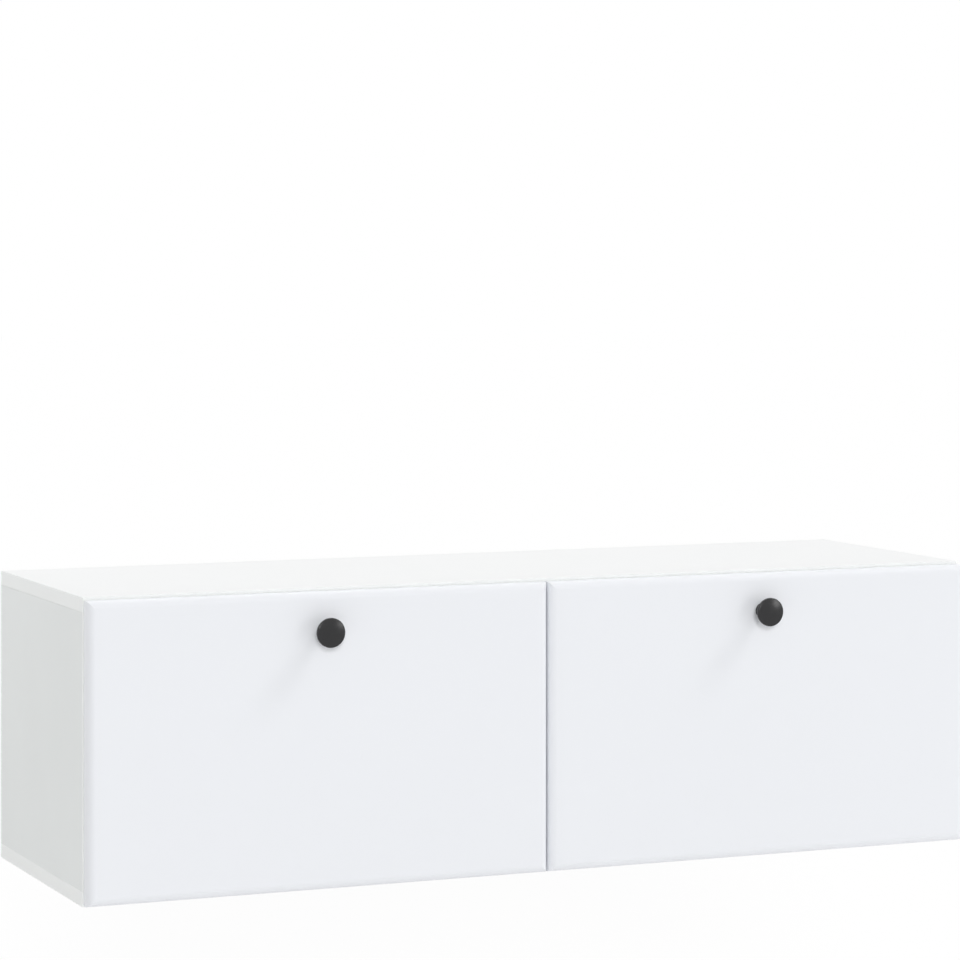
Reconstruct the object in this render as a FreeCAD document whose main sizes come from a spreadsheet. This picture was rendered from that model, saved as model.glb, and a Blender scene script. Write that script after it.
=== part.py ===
"""Floating media console: a wall-hung cabinet with a centre divider and two drop-down flaps.

Frame: +X to the right, the flaps face -Y, +Z up. The wall is the plane Y = 0, and the origin is
the middle of the wall rail's hole line. All lengths are in millimetres.
"""
import FreeCAD
import Part
import Sketcher
import math
import os

VECTOR = FreeCAD.Vector
LENGTH_TOLERANCE = 1e-3
VOLUME_TOLERANCE = 1e-6
LEFT = -1
RIGHT = 1
SIDES = {"left": LEFT, "right": RIGHT}

# Driving dimensions: alias, value, what it is.
DRIVING = [
    ("carcass_width", 1000, "top and bottom boards, end to end"),
    ("carcass_height", 307, "underside of the bottom board to the top of the top board"),
    ("overall_depth", 320, "wall to the face of the flaps"),
    ("board_thickness", 15, "carcass boards"),
    ("board_edge_radius", 0.5, "softened edge of the two long boards"),
    ("mounting_drop", 70, "top of the carcass down to the rail's hole line"),
    ("back_thickness", 3, "back panel"),
    ("back_recess", 18, "wall to the rear of the back panel"),
    ("groove_depth", 7, "groove for the back panel"),
    ("groove_play", 0.3, "groove wider than the back panel"),
    ("back_edge_play", 0.5, "back panel's edge to the groove's floor"),
    ("cable_slot_length", 80, "cable slot in the back panel"),
    ("cable_slot_height", 40, "cable slot in the back panel"),
    ("cable_slot_rise", 60, "floor of a compartment to the slot's centre"),
    ("notch_length", 80, "cable notch in the rear edge of the bottom board"),
    ("notch_depth", 14, "cable notch in the rear edge of the bottom board"),
    ("flap_thickness", 15, "flap board"),
    ("flap_gap", 1, "carcass front to the flap's inner face"),
    ("flap_top_reveal", 3, "flap's top edge below the carcass top"),
    ("flap_bottom_reveal", 1.5, "flap's bottom edge above the carcass underside"),
    ("flap_side_reveal", 1, "flap's outer edge inside the carcass end"),
    ("flap_centre_gap", 2, "between the two flaps"),
    ("flap_edge_radius", 8, "rounding of the flap's four front edges"),
    ("flap_heel_radius", 2, "rounding of the flap's lower inner edge, which swings past the carcass"),
    ("knob_drop", 39.5, "knob axis below the flap's top edge"),
    ("knob_diameter", 30.4, "knob head"),
    ("knob_projection", 21.5, "knob's crown in front of the flap"),
    ("knob_rim", 3.2, "thickness of the head at its rim"),
    ("knob_crown", 1.4, "rise of the domed face"),
    ("knob_foot_diameter", 16, "knob foot on the flap"),
    ("knob_foot_height", 2.6, "straight part of the foot"),
    ("knob_neck_diameter", 11.5, "narrowest part of the knob"),
    ("knob_neck_height", 8.5, "flap face to the end of the neck"),
    ("knob_rim_radius", 1.4, "rounding of the head's rim"),
    ("knob_screw_diameter", 4, "machine screw in the knob"),
    ("knob_screw_bite", 11, "screw length inside the knob"),
    ("knob_screw_head_diameter", 8.5, "screw head on the flap's inner face"),
    ("knob_screw_head_height", 2.6, "screw head on the flap's inner face"),
    ("knob_screw_recess_length", 4.2, "cross recess of the knob's screw"),
    ("knob_screw_recess_width", 0.95, "cross recess of the knob's screw"),
    ("knob_screw_recess_depth", 1.3, "cross recess of the knob's screw"),
    ("knob_screw_play", 0.25, "radial clearance of the screw in the flap"),
    ("cam_diameter", 15, "cam lock bore"),
    ("cam_play", 0.1, "radial clearance of the cam lock in its bore"),
    ("cam_skin", 2.5, "board left behind a cam lock bore"),
    ("cam_end_distance", 24, "board end to the cam lock's axis"),
    ("cam_front_distance", 37, "carcass front to the front row of cam locks"),
    ("cam_rear_distance", 20, "hanger front to the rear row of cam locks"),
    ("cam_floor_play", 0.3, "cam lock's rear face to the floor of its bore"),
    ("cam_mouth_diameter", 7.6, "opening in the cam lock for the bolt head"),
    ("cam_recess_length", 7.5, "cross recess of the cam lock"),
    ("cam_recess_width", 1.9, "cross recess of the cam lock"),
    ("cam_recess_depth", 1.2, "cross recess of the cam lock"),
    ("bolt_head_diameter", 7, "cam bolt head"),
    ("bolt_head_height", 2.6, "cam bolt head"),
    ("bolt_neck_diameter", 4, "cam bolt under its head"),
    ("bolt_neck_height", 4, "cam bolt under its head"),
    ("bolt_shank_diameter", 6.4, "cam bolt shank"),
    ("bolt_hole_diameter", 8, "hole for the bolt and the wooden dowel in a board's end"),
    ("bolt_thread_diameter", 5, "cam bolt thread"),
    ("bolt_thread_length", 11, "cam bolt thread"),
    ("cover_diameter", 17.5, "cap over a cam lock"),
    ("cover_thickness", 1, "cap over a cam lock"),
    ("cover_bevel", 0.5, "softened rim of the cap"),
    ("dowel_length", 30, "wooden dowel"),
    ("dowel_bite", 11, "wooden dowel inside a long board"),
    ("dowel_bevel", 1, "wooden dowel's two ends"),
    ("screw_diameter", 3.5, "wood screw"),
    ("screw_length", 13, "wood screw below its head"),
    ("screw_head_diameter", 6.8, "wood screw head"),
    ("screw_head_height", 2, "wood screw head"),
    ("screw_tip_diameter", 1.4, "blunt tip of the wood screw"),
    ("screw_tip_length", 3.5, "tapered end of the wood screw"),
    ("screw_recess_length", 3.4, "cross recess of the wood screw"),
    ("screw_recess_width", 0.75, "cross recess of the wood screw"),
    ("screw_recess_depth", 1.1, "cross recess of the wood screw"),
    ("hinge_end_distance", 82, "flap's side edge to the centre of a hinge"),
    ("knuckle_radius", 3, "hinge knuckle"),
    ("pivot_inset", 2.5, "flap's inner face to the hinge axis"),
    ("hinge_pin_diameter", 2.5, "hinge pin"),
    ("hinge_pin_play", 0.05, "radial running clearance of the pin"),
    ("hinge_pin_overhang", 0.2, "pin end outside the knuckles"),
    ("hinge_arm_width", 16, "hinge arm and its knuckle"),
    ("hinge_arm_thickness", 1.1, "sheet of the hinge arm"),
    ("hinge_arm_standoff", 0.1, "carcass front to the hinge arm"),
    ("hinge_arm_reach", 36, "hinge arm on the floor of the compartment"),
    ("hinge_screw_setback", 11, "carcass front to the arm's first screw"),
    ("hinge_screw_pitch", 16, "between the arm's two screws"),
    ("knuckle_play", 0.3, "side play between knuckles"),
    ("side_knuckle_width", 8, "flap leaf's knuckles"),
    ("leaf_thickness", 0.8, "sheet of the flap leaf"),
    ("leaf_width", 52, "flap leaf"),
    ("leaf_rise", 47, "flap's bottom edge to the top of the leaf"),
    ("leaf_shoulder", 20, "flap's bottom edge to the leaf's shoulders"),
    ("leaf_screw_pitch", 36, "between the leaf's two screws"),
    ("leaf_screw_rise", 35, "flap's bottom edge to the leaf's screws"),
    ("leaf_window_play", 1.4, "leaf's cut-out above the hinge arm"),
    ("hinge_notch_play", 0.4, "flap's notch around the knuckles and the hinge arm"),
    ("stay_radius", 150, "hinge axis to the stay's pivot and to its stud"),
    ("stay_closed_reach", 25, "stay pivot to stud with the flap closed"),
    ("stay_pivot_rise", 12, "flap's inner face to the stay's pivot"),
    ("stay_arm_thickness", 2, "slotted arm"),
    ("stay_arm_width", 13, "slotted arm"),
    ("stay_wall_distance", 3.5, "side panel to the slotted arm"),
    ("stay_tip", 5, "slot's end to the centre of the arm's rounded tip"),
    ("stay_end_play", 0.5, "stud to the slot's ends at both limits"),
    ("stud_diameter", 6, "stud in the arm's slot"),
    ("stud_play", 0.1, "radial clearance of the stud in the slot"),
    ("stud_side_play", 0.3, "arm to the stud's collar and head"),
    ("stud_head_diameter", 10, "stud head"),
    ("stud_head_height", 1.6, "stud head"),
    ("stud_collar_diameter", 12, "stud collar on the side panel"),
    ("stud_thread_diameter", 5, "stud thread"),
    ("stud_thread_length", 10, "stud thread in the side panel"),
    ("rivet_diameter", 5, "stay's pivot rivet"),
    ("rivet_play", 0.06, "radial running clearance of the rivet in the arm"),
    ("rivet_head_diameter", 8.5, "rivet heads"),
    ("rivet_head_height", 1.2, "rivet heads"),
    ("bracket_thickness", 1.6, "stay bracket sheet"),
    ("bracket_length", 44, "stay bracket on the flap"),
    ("bracket_width", 20, "stay bracket on the flap"),
    ("bracket_ear_radius", 8, "stay bracket around the rivet"),
    ("bracket_side_play", 0.3, "arm to the bracket's ear"),
    ("bracket_screw_pitch", 30, "between the bracket's two screws"),
    ("catch_width", 44, "magnetic catch"),
    ("catch_depth", 14, "magnetic catch"),
    ("catch_height", 14, "magnetic catch"),
    ("catch_clearance", 0.3, "magnet to the strike plate with the flap closed"),
    ("catch_ear_height", 3, "catch housing's screw ears"),
    ("catch_ear_length", 11, "catch housing's screw ears"),
    ("magnet_width", 30, "magnet and its pole plates"),
    ("magnet_height", 7, "magnet and its pole plates"),
    ("magnet_depth", 9, "magnet and its pole plates"),
    ("magnet_step", 0.5, "pole plates in front of the housing"),
    ("pole_thickness", 1.4, "pole plates above and below the magnet"),
    ("strike_thickness", 1, "strike plate on the flap"),
    ("strike_height", 12, "strike plate on the flap"),
    ("strike_screw_play", 1.2, "strike plate's screw heads to the catch housing"),
    ("strike_end", 2.4, "screw heads to the strike plate's ends"),
    ("bumper_diameter", 8, "clear pad"),
    ("bumper_top_diameter", 4, "flat top of a clear pad"),
    ("bumper_rim_height", 0.4, "clear pad at its rim"),
    ("bumper_clearance", 0.3, "pad to the carcass front with the flap closed"),
    ("bumper_end_distance", 24, "flap's side edge to a pad's centre"),
    ("rail_thickness", 2, "wall rail sheet"),
    ("rail_web_below", 14, "hole line to the rail's lower edge"),
    ("rail_web_above", 12, "hole line to the top of the rail's step"),
    ("rail_lip_height", 12, "rail's lip above its step"),
    ("rail_offset", 8, "wall to the front of the rail's lip"),
    ("rail_end_gap", 3, "rail's end to the side panel"),
    ("rail_hole_diameter", 7, "wall screw holes"),
    ("rail_hole_spacing", 800, "wall screw holes, centre to centre"),
    ("hanger_width", 18, "cabinet hanger"),
    ("hanger_depth", 42, "cabinet hanger"),
    ("hanger_height", 60, "cabinet hanger"),
    ("hanger_edge_radius", 2, "cabinet hanger's front edges"),
    ("peg_diameter", 10, "hanger's pegs in the side panel"),
    ("peg_length", 10, "hanger's pegs in the side panel"),
    ("peg_pitch", 32, "between the hanger's two pegs"),
    ("peg_floor_play", 0.5, "peg's end to the floor of its bore"),
    ("hook_width", 10, "hanger hook"),
    ("hook_thickness", 3, "hanger hook"),
    ("hook_play", 0.3, "hook to the hanger's slot and to the wall"),
    ("hook_embed", 30, "hook inside the hanger"),
    ("hook_drop", 9, "hook's tongue behind the rail's lip"),
    ("back_corner_width", 21, "corner cut-out of the back panel for the hook"),
    ("back_corner_height", 40, "corner cut-out of the back panel for the hook"),
    ("adjuster_diameter", 8, "hanger's adjusting screws"),
    ("adjuster_depth", 5, "hanger's adjusting screws"),
    ("adjuster_recess", 1, "adjusting screw behind the hanger's front"),
    ("adjuster_pitch", 22, "between the two adjusting screws"),
    ("adjuster_slot_length", 5.4, "slot of the adjusting screw"),
    ("adjuster_slot_width", 1.4, "slot of the adjusting screw"),
    ("adjuster_slot_depth", 1, "slot of the adjusting screw"),
]


class Size:
    """A length held both as a number and as the sheet expression that gives it."""

    def __init__(self, value, text):
        self.value = value
        self.text = text

    @staticmethod
    def of(item):
        if isinstance(item, Size):
            return item
        return Size(float(item), f"{item:.10g}")

    def _with(self, other, sign, value):
        return Size(value, f"({self.text} {sign} {other.text})")

    def __add__(self, other):
        other = Size.of(other)
        return self._with(other, "+", self.value + other.value)

    def __sub__(self, other):
        other = Size.of(other)
        return self._with(other, "-", self.value - other.value)

    def __mul__(self, other):
        other = Size.of(other)
        return self._with(other, "*", self.value * other.value)

    def __truediv__(self, other):
        other = Size.of(other)
        return self._with(other, "/", self.value / other.value)

    def __radd__(self, other):
        return Size.of(other) + self

    def __rsub__(self, other):
        return Size.of(other) - self

    def __rmul__(self, other):
        return Size.of(other) * self

    def __neg__(self):
        return Size(-self.value, f"(-1 * {self.text})")

    def root(self):
        return Size(math.sqrt(self.value), f"sqrt({self.text})")


class Sizes:
    """The sheet of driving dimensions, read by alias."""

    def __init__(self, doc):
        self._values = {}
        sheet = doc.addObject("Spreadsheet::Sheet", "Sizes")
        for row, (alias, value, note) in enumerate(DRIVING, start=1):
            sheet.set(f"A{row}", alias)
            sheet.set(f"B{row}", str(value))
            sheet.setAlias(f"B{row}", alias)
            sheet.set(f"C{row}", note)
            self._values[alias] = Size(float(value), f"Sizes.{alias}")

    def __getattr__(self, alias):
        return self._values[alias]


DOC = FreeCAD.newDocument("FloatingMediaConsole")
S = Sizes(DOC)
DOC.recompute()
ZERO = Size.of(0)


class Layout:
    """Planes, lines and points that several sub-parts share, worked out from the sheet."""

    half_width = S.carcass_width / 2
    top = S.mounting_drop
    bottom = top - S.carcass_height
    depth = S.overall_depth - S.flap_thickness - S.flap_gap
    front = -depth
    floor = bottom + S.board_thickness
    ceiling = top - S.board_thickness
    inner_height = S.carcass_height - 2 * S.board_thickness
    side_face = half_width - S.board_thickness
    back_front = -(S.back_recess + S.back_thickness)
    hanger_front = back_front - S.hanger_depth
    cam_rows = (front + S.cam_front_distance, hanger_front - S.cam_rear_distance)
    dowel_row = (cam_rows[0] + cam_rows[1]) / 2
    cam_bore_depth = S.board_thickness - S.cam_skin

    flap_inner = front - S.flap_gap
    flap_face = flap_inner - S.flap_thickness
    flap_bottom = bottom + S.flap_bottom_reveal
    flap_top = top - S.flap_top_reveal
    flap_outer = half_width - S.flap_side_reveal
    flap_near = S.flap_centre_gap / 2
    flap_middle = (flap_outer + flap_near) / 2
    knob_height = flap_top - S.knob_drop

    pivot_y = flap_inner - S.pivot_inset
    pivot_z = flap_bottom + S.knuckle_radius
    hinge_places = (flap_near + S.hinge_end_distance, flap_outer - S.hinge_end_distance)
    hinge_screws = (S.hinge_screw_setback, S.hinge_screw_setback + S.hinge_screw_pitch)

    # The stay's pivot and its stud lie at one distance from the hinge axis, so that the slotted
    # arm turns by exactly half of the flap's angle.
    stay_lean = S.pivot_inset + S.stay_pivot_rise
    stay_height = (S.stay_radius * S.stay_radius - stay_lean * stay_lean).root()
    _cosine = 1 - S.stay_closed_reach * S.stay_closed_reach / (2 * S.stay_radius * S.stay_radius)
    _sine = (1 - _cosine * _cosine).root()
    stud_lean = stay_lean * _cosine + stay_height * _sine
    stud_height = stay_height * _cosine - stay_lean * _sine
    stay_pivot = (pivot_y + stay_lean, pivot_z + stay_height)
    stud = (pivot_y + stud_lean, pivot_z + stud_height)
    _open_y = stud_lean + stay_height
    _open_z = stud_height - stay_lean
    stay_open_reach = (_open_y * _open_y + _open_z * _open_z).root()

    rail_lip_top = S.rail_web_above + S.rail_lip_height
    hanger_base = ceiling - S.hanger_height
    hook_centre = side_face - S.hanger_width / 2


L = Layout


# ---------------------------------------------------------------- drawing helpers

def bind(item, path, size):
    """Bind a property to the sheet expression of a size."""
    item.setExpression(path, Size.of(size).text)


def place(item, x=ZERO, y=ZERO, z=ZERO, rotation=None):
    """Give an object its Placement: a fixed rotation and a bound position."""
    spot = [Size.of(value) for value in (x, y, z)]
    base = VECTOR(*[size.value for size in spot])
    item.Placement = FreeCAD.Placement(base, rotation or FreeCAD.Rotation())
    for axis, size in zip("xyz", spot):
        bind(item, f"Placement.Base.{axis}", size)


def turn(axis, degrees):
    """A rotation about a main axis."""
    return FreeCAD.Rotation(VECTOR(*[float(name == axis) for name in "xyz"]), degrees)


def new_body(label, x=ZERO, y=ZERO, z=ZERO, rotation=None):
    body = DOC.addObject("PartDesign::Body", label)
    body.Label = label
    place(body, x, y, z, rotation)
    return body


def sketch_on(body, plane, offset=ZERO):
    """A sketch on one of the body's own origin planes, at an offset along the plane's normal."""
    sketch = body.newObject("Sketcher::SketchObject", "Sketch")
    origin = next(item for item in body.Origin.OriginFeatures if item.Role == f"{plane}_Plane")
    sketch.AttachmentSupport = [(origin, "")]
    sketch.MapMode = "FlatFace"
    bind(sketch, "AttachmentOffset.Base.z", offset)
    return sketch


def dimension(sketch, name, kind, where, size):
    """Add one dimension to a sketch and bind it."""
    size = Size.of(size)
    index = sketch.addConstraint(Sketcher.Constraint(kind, *where, size.value))
    sketch.renameConstraint(index, name)
    sketch.setExpression(f"Constraints.{name}", size.text)


def pin_point(sketch, geometry, position, u, v):
    """Fix a point of a sketch by its two coordinates."""
    dimension(sketch, f"u{geometry}_{position}", "DistanceX", (-1, 1, geometry, position), u)
    dimension(sketch, f"v{geometry}_{position}", "DistanceY", (-1, 1, geometry, position), v)


def arc_between(start, end, radius):
    """The short arc of a radius that runs counter-clockwise from start to end."""
    chord = end - start
    height = math.sqrt(max(radius ** 2 - (chord.Length / 2) ** 2, 0))
    inward = VECTOR(-chord.y, chord.x, 0).normalize()
    centre = (start + end) / 2 + inward * height
    middle = centre - inward * radius
    return Part.Arc(start, middle, end)


def draw_outline(sketch, corners, arcs=None):
    """A closed outline through the corners, counter-clockwise where an edge is an arc.

    arcs gives the radius of each edge, by the number of its first corner, that bulges outwards.
    """
    arcs = arcs or {}
    corners = [(Size.of(u), Size.of(v)) for u, v in corners]
    points = [VECTOR(u.value, v.value, 0) for u, v in corners]
    first = sketch.GeometryCount
    count = len(points)
    for index, start in enumerate(points):
        end = points[(index + 1) % count]
        if index in arcs:
            sketch.addGeometry(arc_between(start, end, arcs[index].value), False)
        else:
            sketch.addGeometry(Part.LineSegment(start, end), False)
    for index in range(count):
        after = first + (index + 1) % count
        sketch.addConstraint(Sketcher.Constraint("Coincident", first + index, 2, after, 1))
    for index, (u, v) in enumerate(corners):
        pin_point(sketch, first + index, 1, u, v)
    for index, radius in arcs.items():
        dimension(sketch, f"r{first + index}", "Radius", (first + index,), radius)


def rectangle(u0, v0, u1, v1):
    """A drawer of one rectangle."""
    return lambda sketch: draw_outline(sketch, [(u0, v0), (u1, v0), (u1, v1), (u0, v1)])


def outline(corners, arcs=None):
    """A drawer of one closed outline."""
    return lambda sketch: draw_outline(sketch, corners, arcs)


def several(drawers):
    """A drawer that calls several others on one sketch."""
    def draw(sketch):
        for drawer in drawers:
            drawer(sketch)
    return draw


def circles(centres, diameter):
    """A drawer of equal circles."""
    def draw(sketch):
        for u, v in centres:
            centre = VECTOR(Size.of(u).value, Size.of(v).value, 0)
            radius = Size.of(diameter) / 2
            index = sketch.addGeometry(Part.Circle(centre, VECTOR(0, 0, 1), radius.value), False)
            pin_point(sketch, index, 3, u, v)
            dimension(sketch, f"r{index}", "Radius", (index,), radius)
    return draw


def obround(start, end, radius):
    """A drawer of a slot outline around the line between two centres."""
    def draw(sketch):
        centres = [VECTOR(Size.of(u).value, Size.of(v).value, 0) for u, v in (start, end)]
        heading = math.atan2(centres[1].y - centres[0].y, centres[1].x - centres[0].x)
        side = VECTOR(-math.sin(heading), math.cos(heading), 0) * radius.value
        quarter = math.pi / 2
        caps = [Part.Circle(centre, VECTOR(0, 0, 1), radius.value) for centre in centres]
        first = sketch.addGeometry([
            Part.ArcOfCircle(caps[0], heading + quarter, heading + 3 * quarter),
            Part.LineSegment(centres[0] - side, centres[1] - side),
            Part.ArcOfCircle(caps[1], heading - quarter, heading + quarter),
            Part.LineSegment(centres[1] + side, centres[0] + side),
        ], False)[0]
        for index in range(4):
            joint = (first + index, 2, first + (index + 1) % 4, 1)
            sketch.addConstraint(Sketcher.Constraint("Tangent", *joint))
        sketch.addConstraint(Sketcher.Constraint("Equal", first, first + 2))
        pin_point(sketch, first, 3, *start)
        pin_point(sketch, first + 2, 3, *end)
        dimension(sketch, f"r{first}", "Radius", (first,), radius)
    return draw


def _extruded(body, kind, plane, start, end, draw):
    """Draw on a plane and extrude from start to end along the axis that the plane faces."""
    start = Size.of(start)
    end = Size.of(end)
    # The XZ plane faces -Y, so a sketch on it starts from the far end.
    sketch = sketch_on(body, plane, -end if plane == "XZ" else start)
    draw(sketch)
    feature = body.newObject(f"PartDesign::{kind}", kind)
    feature.Profile = sketch
    feature.Reversed = kind == "Pocket"
    bind(feature, "Length", end - start)
    return feature


def add(body, plane, start, end, draw):
    return _extruded(body, "Pad", plane, start, end, draw)


def cut(body, plane, start, end, draw):
    return _extruded(body, "Pocket", plane, start, end, draw)


def lathe(body, plane, axis, corners, arcs=None):
    """Turn an outline about one axis of its sketch."""
    sketch = sketch_on(body, plane)
    draw_outline(sketch, corners, arcs)
    feature = body.newObject("PartDesign::Revolution", "Revolution")
    feature.Profile = sketch
    feature.ReferenceAxis = (sketch, [f"{axis}_Axis"])
    feature.Angle = 360
    return feature


def cross_recess(body, plane, start, end, length, width):
    """Cut two crossing slots between two offsets of a plane."""
    half = length / 2
    blade = width / 2
    cut(body, plane, start, end, rectangle(-half, -blade, half, blade))
    cut(body, plane, start, end, rectangle(-blade, -half, blade, half))


def dome_radius(half_width, rise):
    """Radius of a shallow dome, from half its width and its rise."""
    return (half_width * half_width + rise * rise) / (2 * rise)


def round_edges(body, radius, chosen):
    """Fillet the edges of the body's last feature that the test picks."""
    DOC.recompute()
    base = body.Tip
    names = [f"Edge{number}" for number, edge in enumerate(base.Shape.Edges, start=1) if chosen(edge)]
    fillet = body.newObject("PartDesign::Fillet", "Fillet")
    fillet.Base = (base, names)
    bind(fillet, "Radius", radius)
    return fillet


def edge_at(axis, level):
    """A test for straight edges that lie in one plane across an axis."""
    def chosen(edge):
        box = edge.BoundBox
        low = getattr(box, f"{axis.upper()}Min")
        high = getattr(box, f"{axis.upper()}Max")
        return (abs(low - level.value) < LENGTH_TOLERANCE
                and abs(high - level.value) < LENGTH_TOLERANCE)
    return chosen


def group(label, master, spots):
    """Equal solids as links to one master body, joined under one label."""
    links = []
    for number, (x, y, z, rotation) in enumerate(spots, start=1):
        link = DOC.addObject("App::Link", f"{label}_{number}")
        link.LinkedObject = master
        link.LinkTransform = False
        place(link, x, y, z, rotation)
        links.append(link)
    compound = DOC.addObject("Part::Compound", label)
    compound.Label = label
    compound.Links = links
    return compound


def outward(side, near, far):
    """The span from near to far in the direction of a side, low end first."""
    if side == RIGHT:
        return near, far
    return -far, -near


def mirrored(side, corners):
    """Corners seen from a side: the first coordinate follows the side's sign."""
    placed = [(side * Size.of(u), v) for u, v in corners]
    return placed if side == RIGHT else placed[::-1]


# ---------------------------------------------------------------- carcass boards

def joint_rows():
    """X of the three uprights' middle planes."""
    middle = L.half_width - S.board_thickness / 2
    return (-middle, ZERO, middle)


def long_board(label, underside, inner_low, inner_high):
    """The top or bottom board with the bores and the groove of its inner face.

    inner_low and inner_high give, for a depth, the span of Z that it takes from the inner face.
    """
    body = new_body(label, z=underside)
    plan = rectangle(-L.half_width, L.front, L.half_width, ZERO)
    add(body, "XY", ZERO, S.board_thickness, plan)
    round_edges(body, S.board_edge_radius, lambda edge: True)

    def from_inner_face(depth, draw):
        cut(body, "XY", inner_low(depth), inner_high(depth), draw)

    bolts = [(x, y) for x in joint_rows() for y in L.cam_rows]
    from_inner_face(S.bolt_thread_length, circles(bolts, S.bolt_thread_diameter))
    dowels = [(x, L.dowel_row) for x in joint_rows()]
    from_inner_face(S.dowel_bite, circles(dowels, S.bolt_hole_diameter))
    reach = L.side_face + S.groove_depth
    groove_front = L.back_front - S.groove_play
    groove = rectangle(-reach, groove_front, reach, -S.back_recess)
    from_inner_face(S.groove_depth, groove)
    return body, from_inner_face


def bottom_panel():
    thickness = S.board_thickness
    body, from_inner_face = long_board(
        "bottom_panel", L.bottom, lambda depth: thickness - depth, lambda depth: thickness)
    screws = [(x, L.front + setback) for x in hinge_centres() for setback in L.hinge_screws]
    depth = S.screw_length - S.hinge_arm_thickness
    from_inner_face(depth, circles(screws, S.screw_diameter))
    half = S.notch_length / 2
    notches = []
    for side in SIDES.values():
        middle = side * L.flap_middle
        notches.append(rectangle(middle - half, -S.notch_depth, middle + half, ZERO))
    cut(body, "XY", ZERO, thickness, several(notches))


def top_panel():
    body, from_inner_face = long_board(
        "top_panel", L.ceiling, lambda depth: ZERO, lambda depth: depth)
    screws = [spot[:2] for side in SIDES.values() for spot in catch_screw_spots(side)]
    depth = S.screw_length - S.catch_ear_height
    from_inner_face(depth, circles(screws, S.screw_diameter))


def upright(label, face, side, front, rear):
    """A board between the two long boards, from its cam face outwards to a side."""
    body = new_body(label, x=face, z=L.floor)
    add(body, "YZ", *outward(side, ZERO, S.board_thickness),
        rectangle(front, ZERO, rear, L.inner_height))
    cam_levels = (S.cam_end_distance, L.inner_height - S.cam_end_distance)
    cams = [(y, z) for y in L.cam_rows for z in cam_levels]
    cut(body, "YZ", *outward(side, ZERO, L.cam_bore_depth), circles(cams, S.cam_diameter))
    middle = side * S.board_thickness / 2
    bolts = circles([(middle, y) for y in L.cam_rows], S.bolt_hole_diameter)
    cut(body, "XY", ZERO, S.cam_end_distance, bolts)
    cut(body, "XY", L.inner_height - S.cam_end_distance, L.inner_height, bolts)
    dowel = circles([(middle, L.dowel_row)], S.bolt_hole_diameter)
    depth = S.dowel_length - S.dowel_bite
    cut(body, "XY", ZERO, depth, dowel)
    cut(body, "XY", L.inner_height - depth, L.inner_height, dowel)
    return body


def side_panel(name, side):
    body = upright(f"{name}_side_panel", side * L.side_face, side, L.front, ZERO)
    groove_front = L.back_front - S.groove_play
    groove = rectangle(groove_front, ZERO, -S.back_recess, L.inner_height)
    cut(body, "YZ", *outward(side, ZERO, S.groove_depth), groove)
    pegs = [(y, z - L.floor) for y, z in peg_places()]
    depth = S.peg_length + S.peg_floor_play
    cut(body, "YZ", *outward(side, ZERO, depth), circles(pegs, S.peg_diameter))
    stud_y, stud_z = L.stud
    thread = circles([(stud_y, stud_z - L.floor)], S.stud_thread_diameter)
    cut(body, "YZ", *outward(side, ZERO, S.stud_thread_length), thread)


def centre_divider():
    upright("centre_divider", -S.board_thickness / 2, RIGHT, L.front, L.back_front)


def back_panel():
    """Loose in the grooves, with its upper corners cut away for the hanger hooks."""
    body = new_body("back_panel", y=-S.back_recess)
    reach = S.groove_depth - S.back_edge_play
    half = L.side_face + reach
    low = L.floor - reach
    high = L.ceiling + reach
    step_x = L.side_face - S.back_corner_width
    step_z = L.ceiling - S.back_corner_height
    half_outline = [(half, low), (half, step_z), (step_x, step_z), (step_x, high)]
    corners = half_outline + mirrored(LEFT, half_outline)
    add(body, "XZ", -S.back_thickness, ZERO, outline(corners))
    level = L.floor + S.cable_slot_rise
    radius = S.cable_slot_height / 2
    half_run = S.cable_slot_length / 2 - radius
    slots = []
    for side in SIDES.values():
        middle = side * L.flap_middle
        slots.append(obround((middle - half_run, level), (middle + half_run, level), radius))
    cut(body, "XZ", -S.back_thickness, ZERO, several(slots))


# ---------------------------------------------------------------- carcass fittings

CAM_FACES = (
    # face of the upright, side that it is bored to
    (-L.side_face, LEFT),
    (-S.board_thickness / 2, RIGHT),
    (L.side_face, RIGHT),
)


def cam_spots(standoff):
    """Each cam lock's place: its face looks along +X in the master, its mouth along -Z."""
    spots = []
    for face, side in CAM_FACES:
        for y in L.cam_rows:
            for up in (False, True):
                level = L.ceiling - S.cam_end_distance if up else L.floor + S.cam_end_distance
                rotation = turn("x", 180 if up else 0)
                if side == RIGHT:
                    rotation = turn("z", 180).multiply(rotation)
                spots.append((face + side * standoff, y, level, rotation))
    return spots


def cam_locks():
    """A disc that turns on the bolt's head, with a cross recess in its face."""
    body = new_body("cam_lock_master")
    length = L.cam_bore_depth - S.cam_floor_play
    body_diameter = S.cam_diameter - 2 * S.cam_play
    add(body, "YZ", -length, ZERO, circles([(ZERO, ZERO)], body_diameter))
    # The mouth is centred on the board's middle plane, where the bolt stands.
    mouth = circles([(-S.board_thickness / 2, ZERO)], S.cam_mouth_diameter)
    past_head = S.bolt_head_height
    cut(body, "XY", -S.cam_diameter, past_head, mouth)
    cross_recess(body, "YZ", -S.cam_recess_depth, ZERO, S.cam_recess_length, S.cam_recess_width)
    group("cam_locks", body, cam_spots(ZERO))


def cam_covers():
    """A thin cap with a softened rim over each cam lock."""
    body = new_body("cam_cover_master")
    rim = S.cover_diameter / 2
    bevel = S.cover_bevel
    lathe(body, "XY", "H", [
        (ZERO, ZERO), (S.cover_thickness, ZERO), (S.cover_thickness, rim - bevel),
        (S.cover_thickness - bevel, rim), (ZERO, rim)])
    group("cam_covers", body, cam_spots(ZERO))


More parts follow.
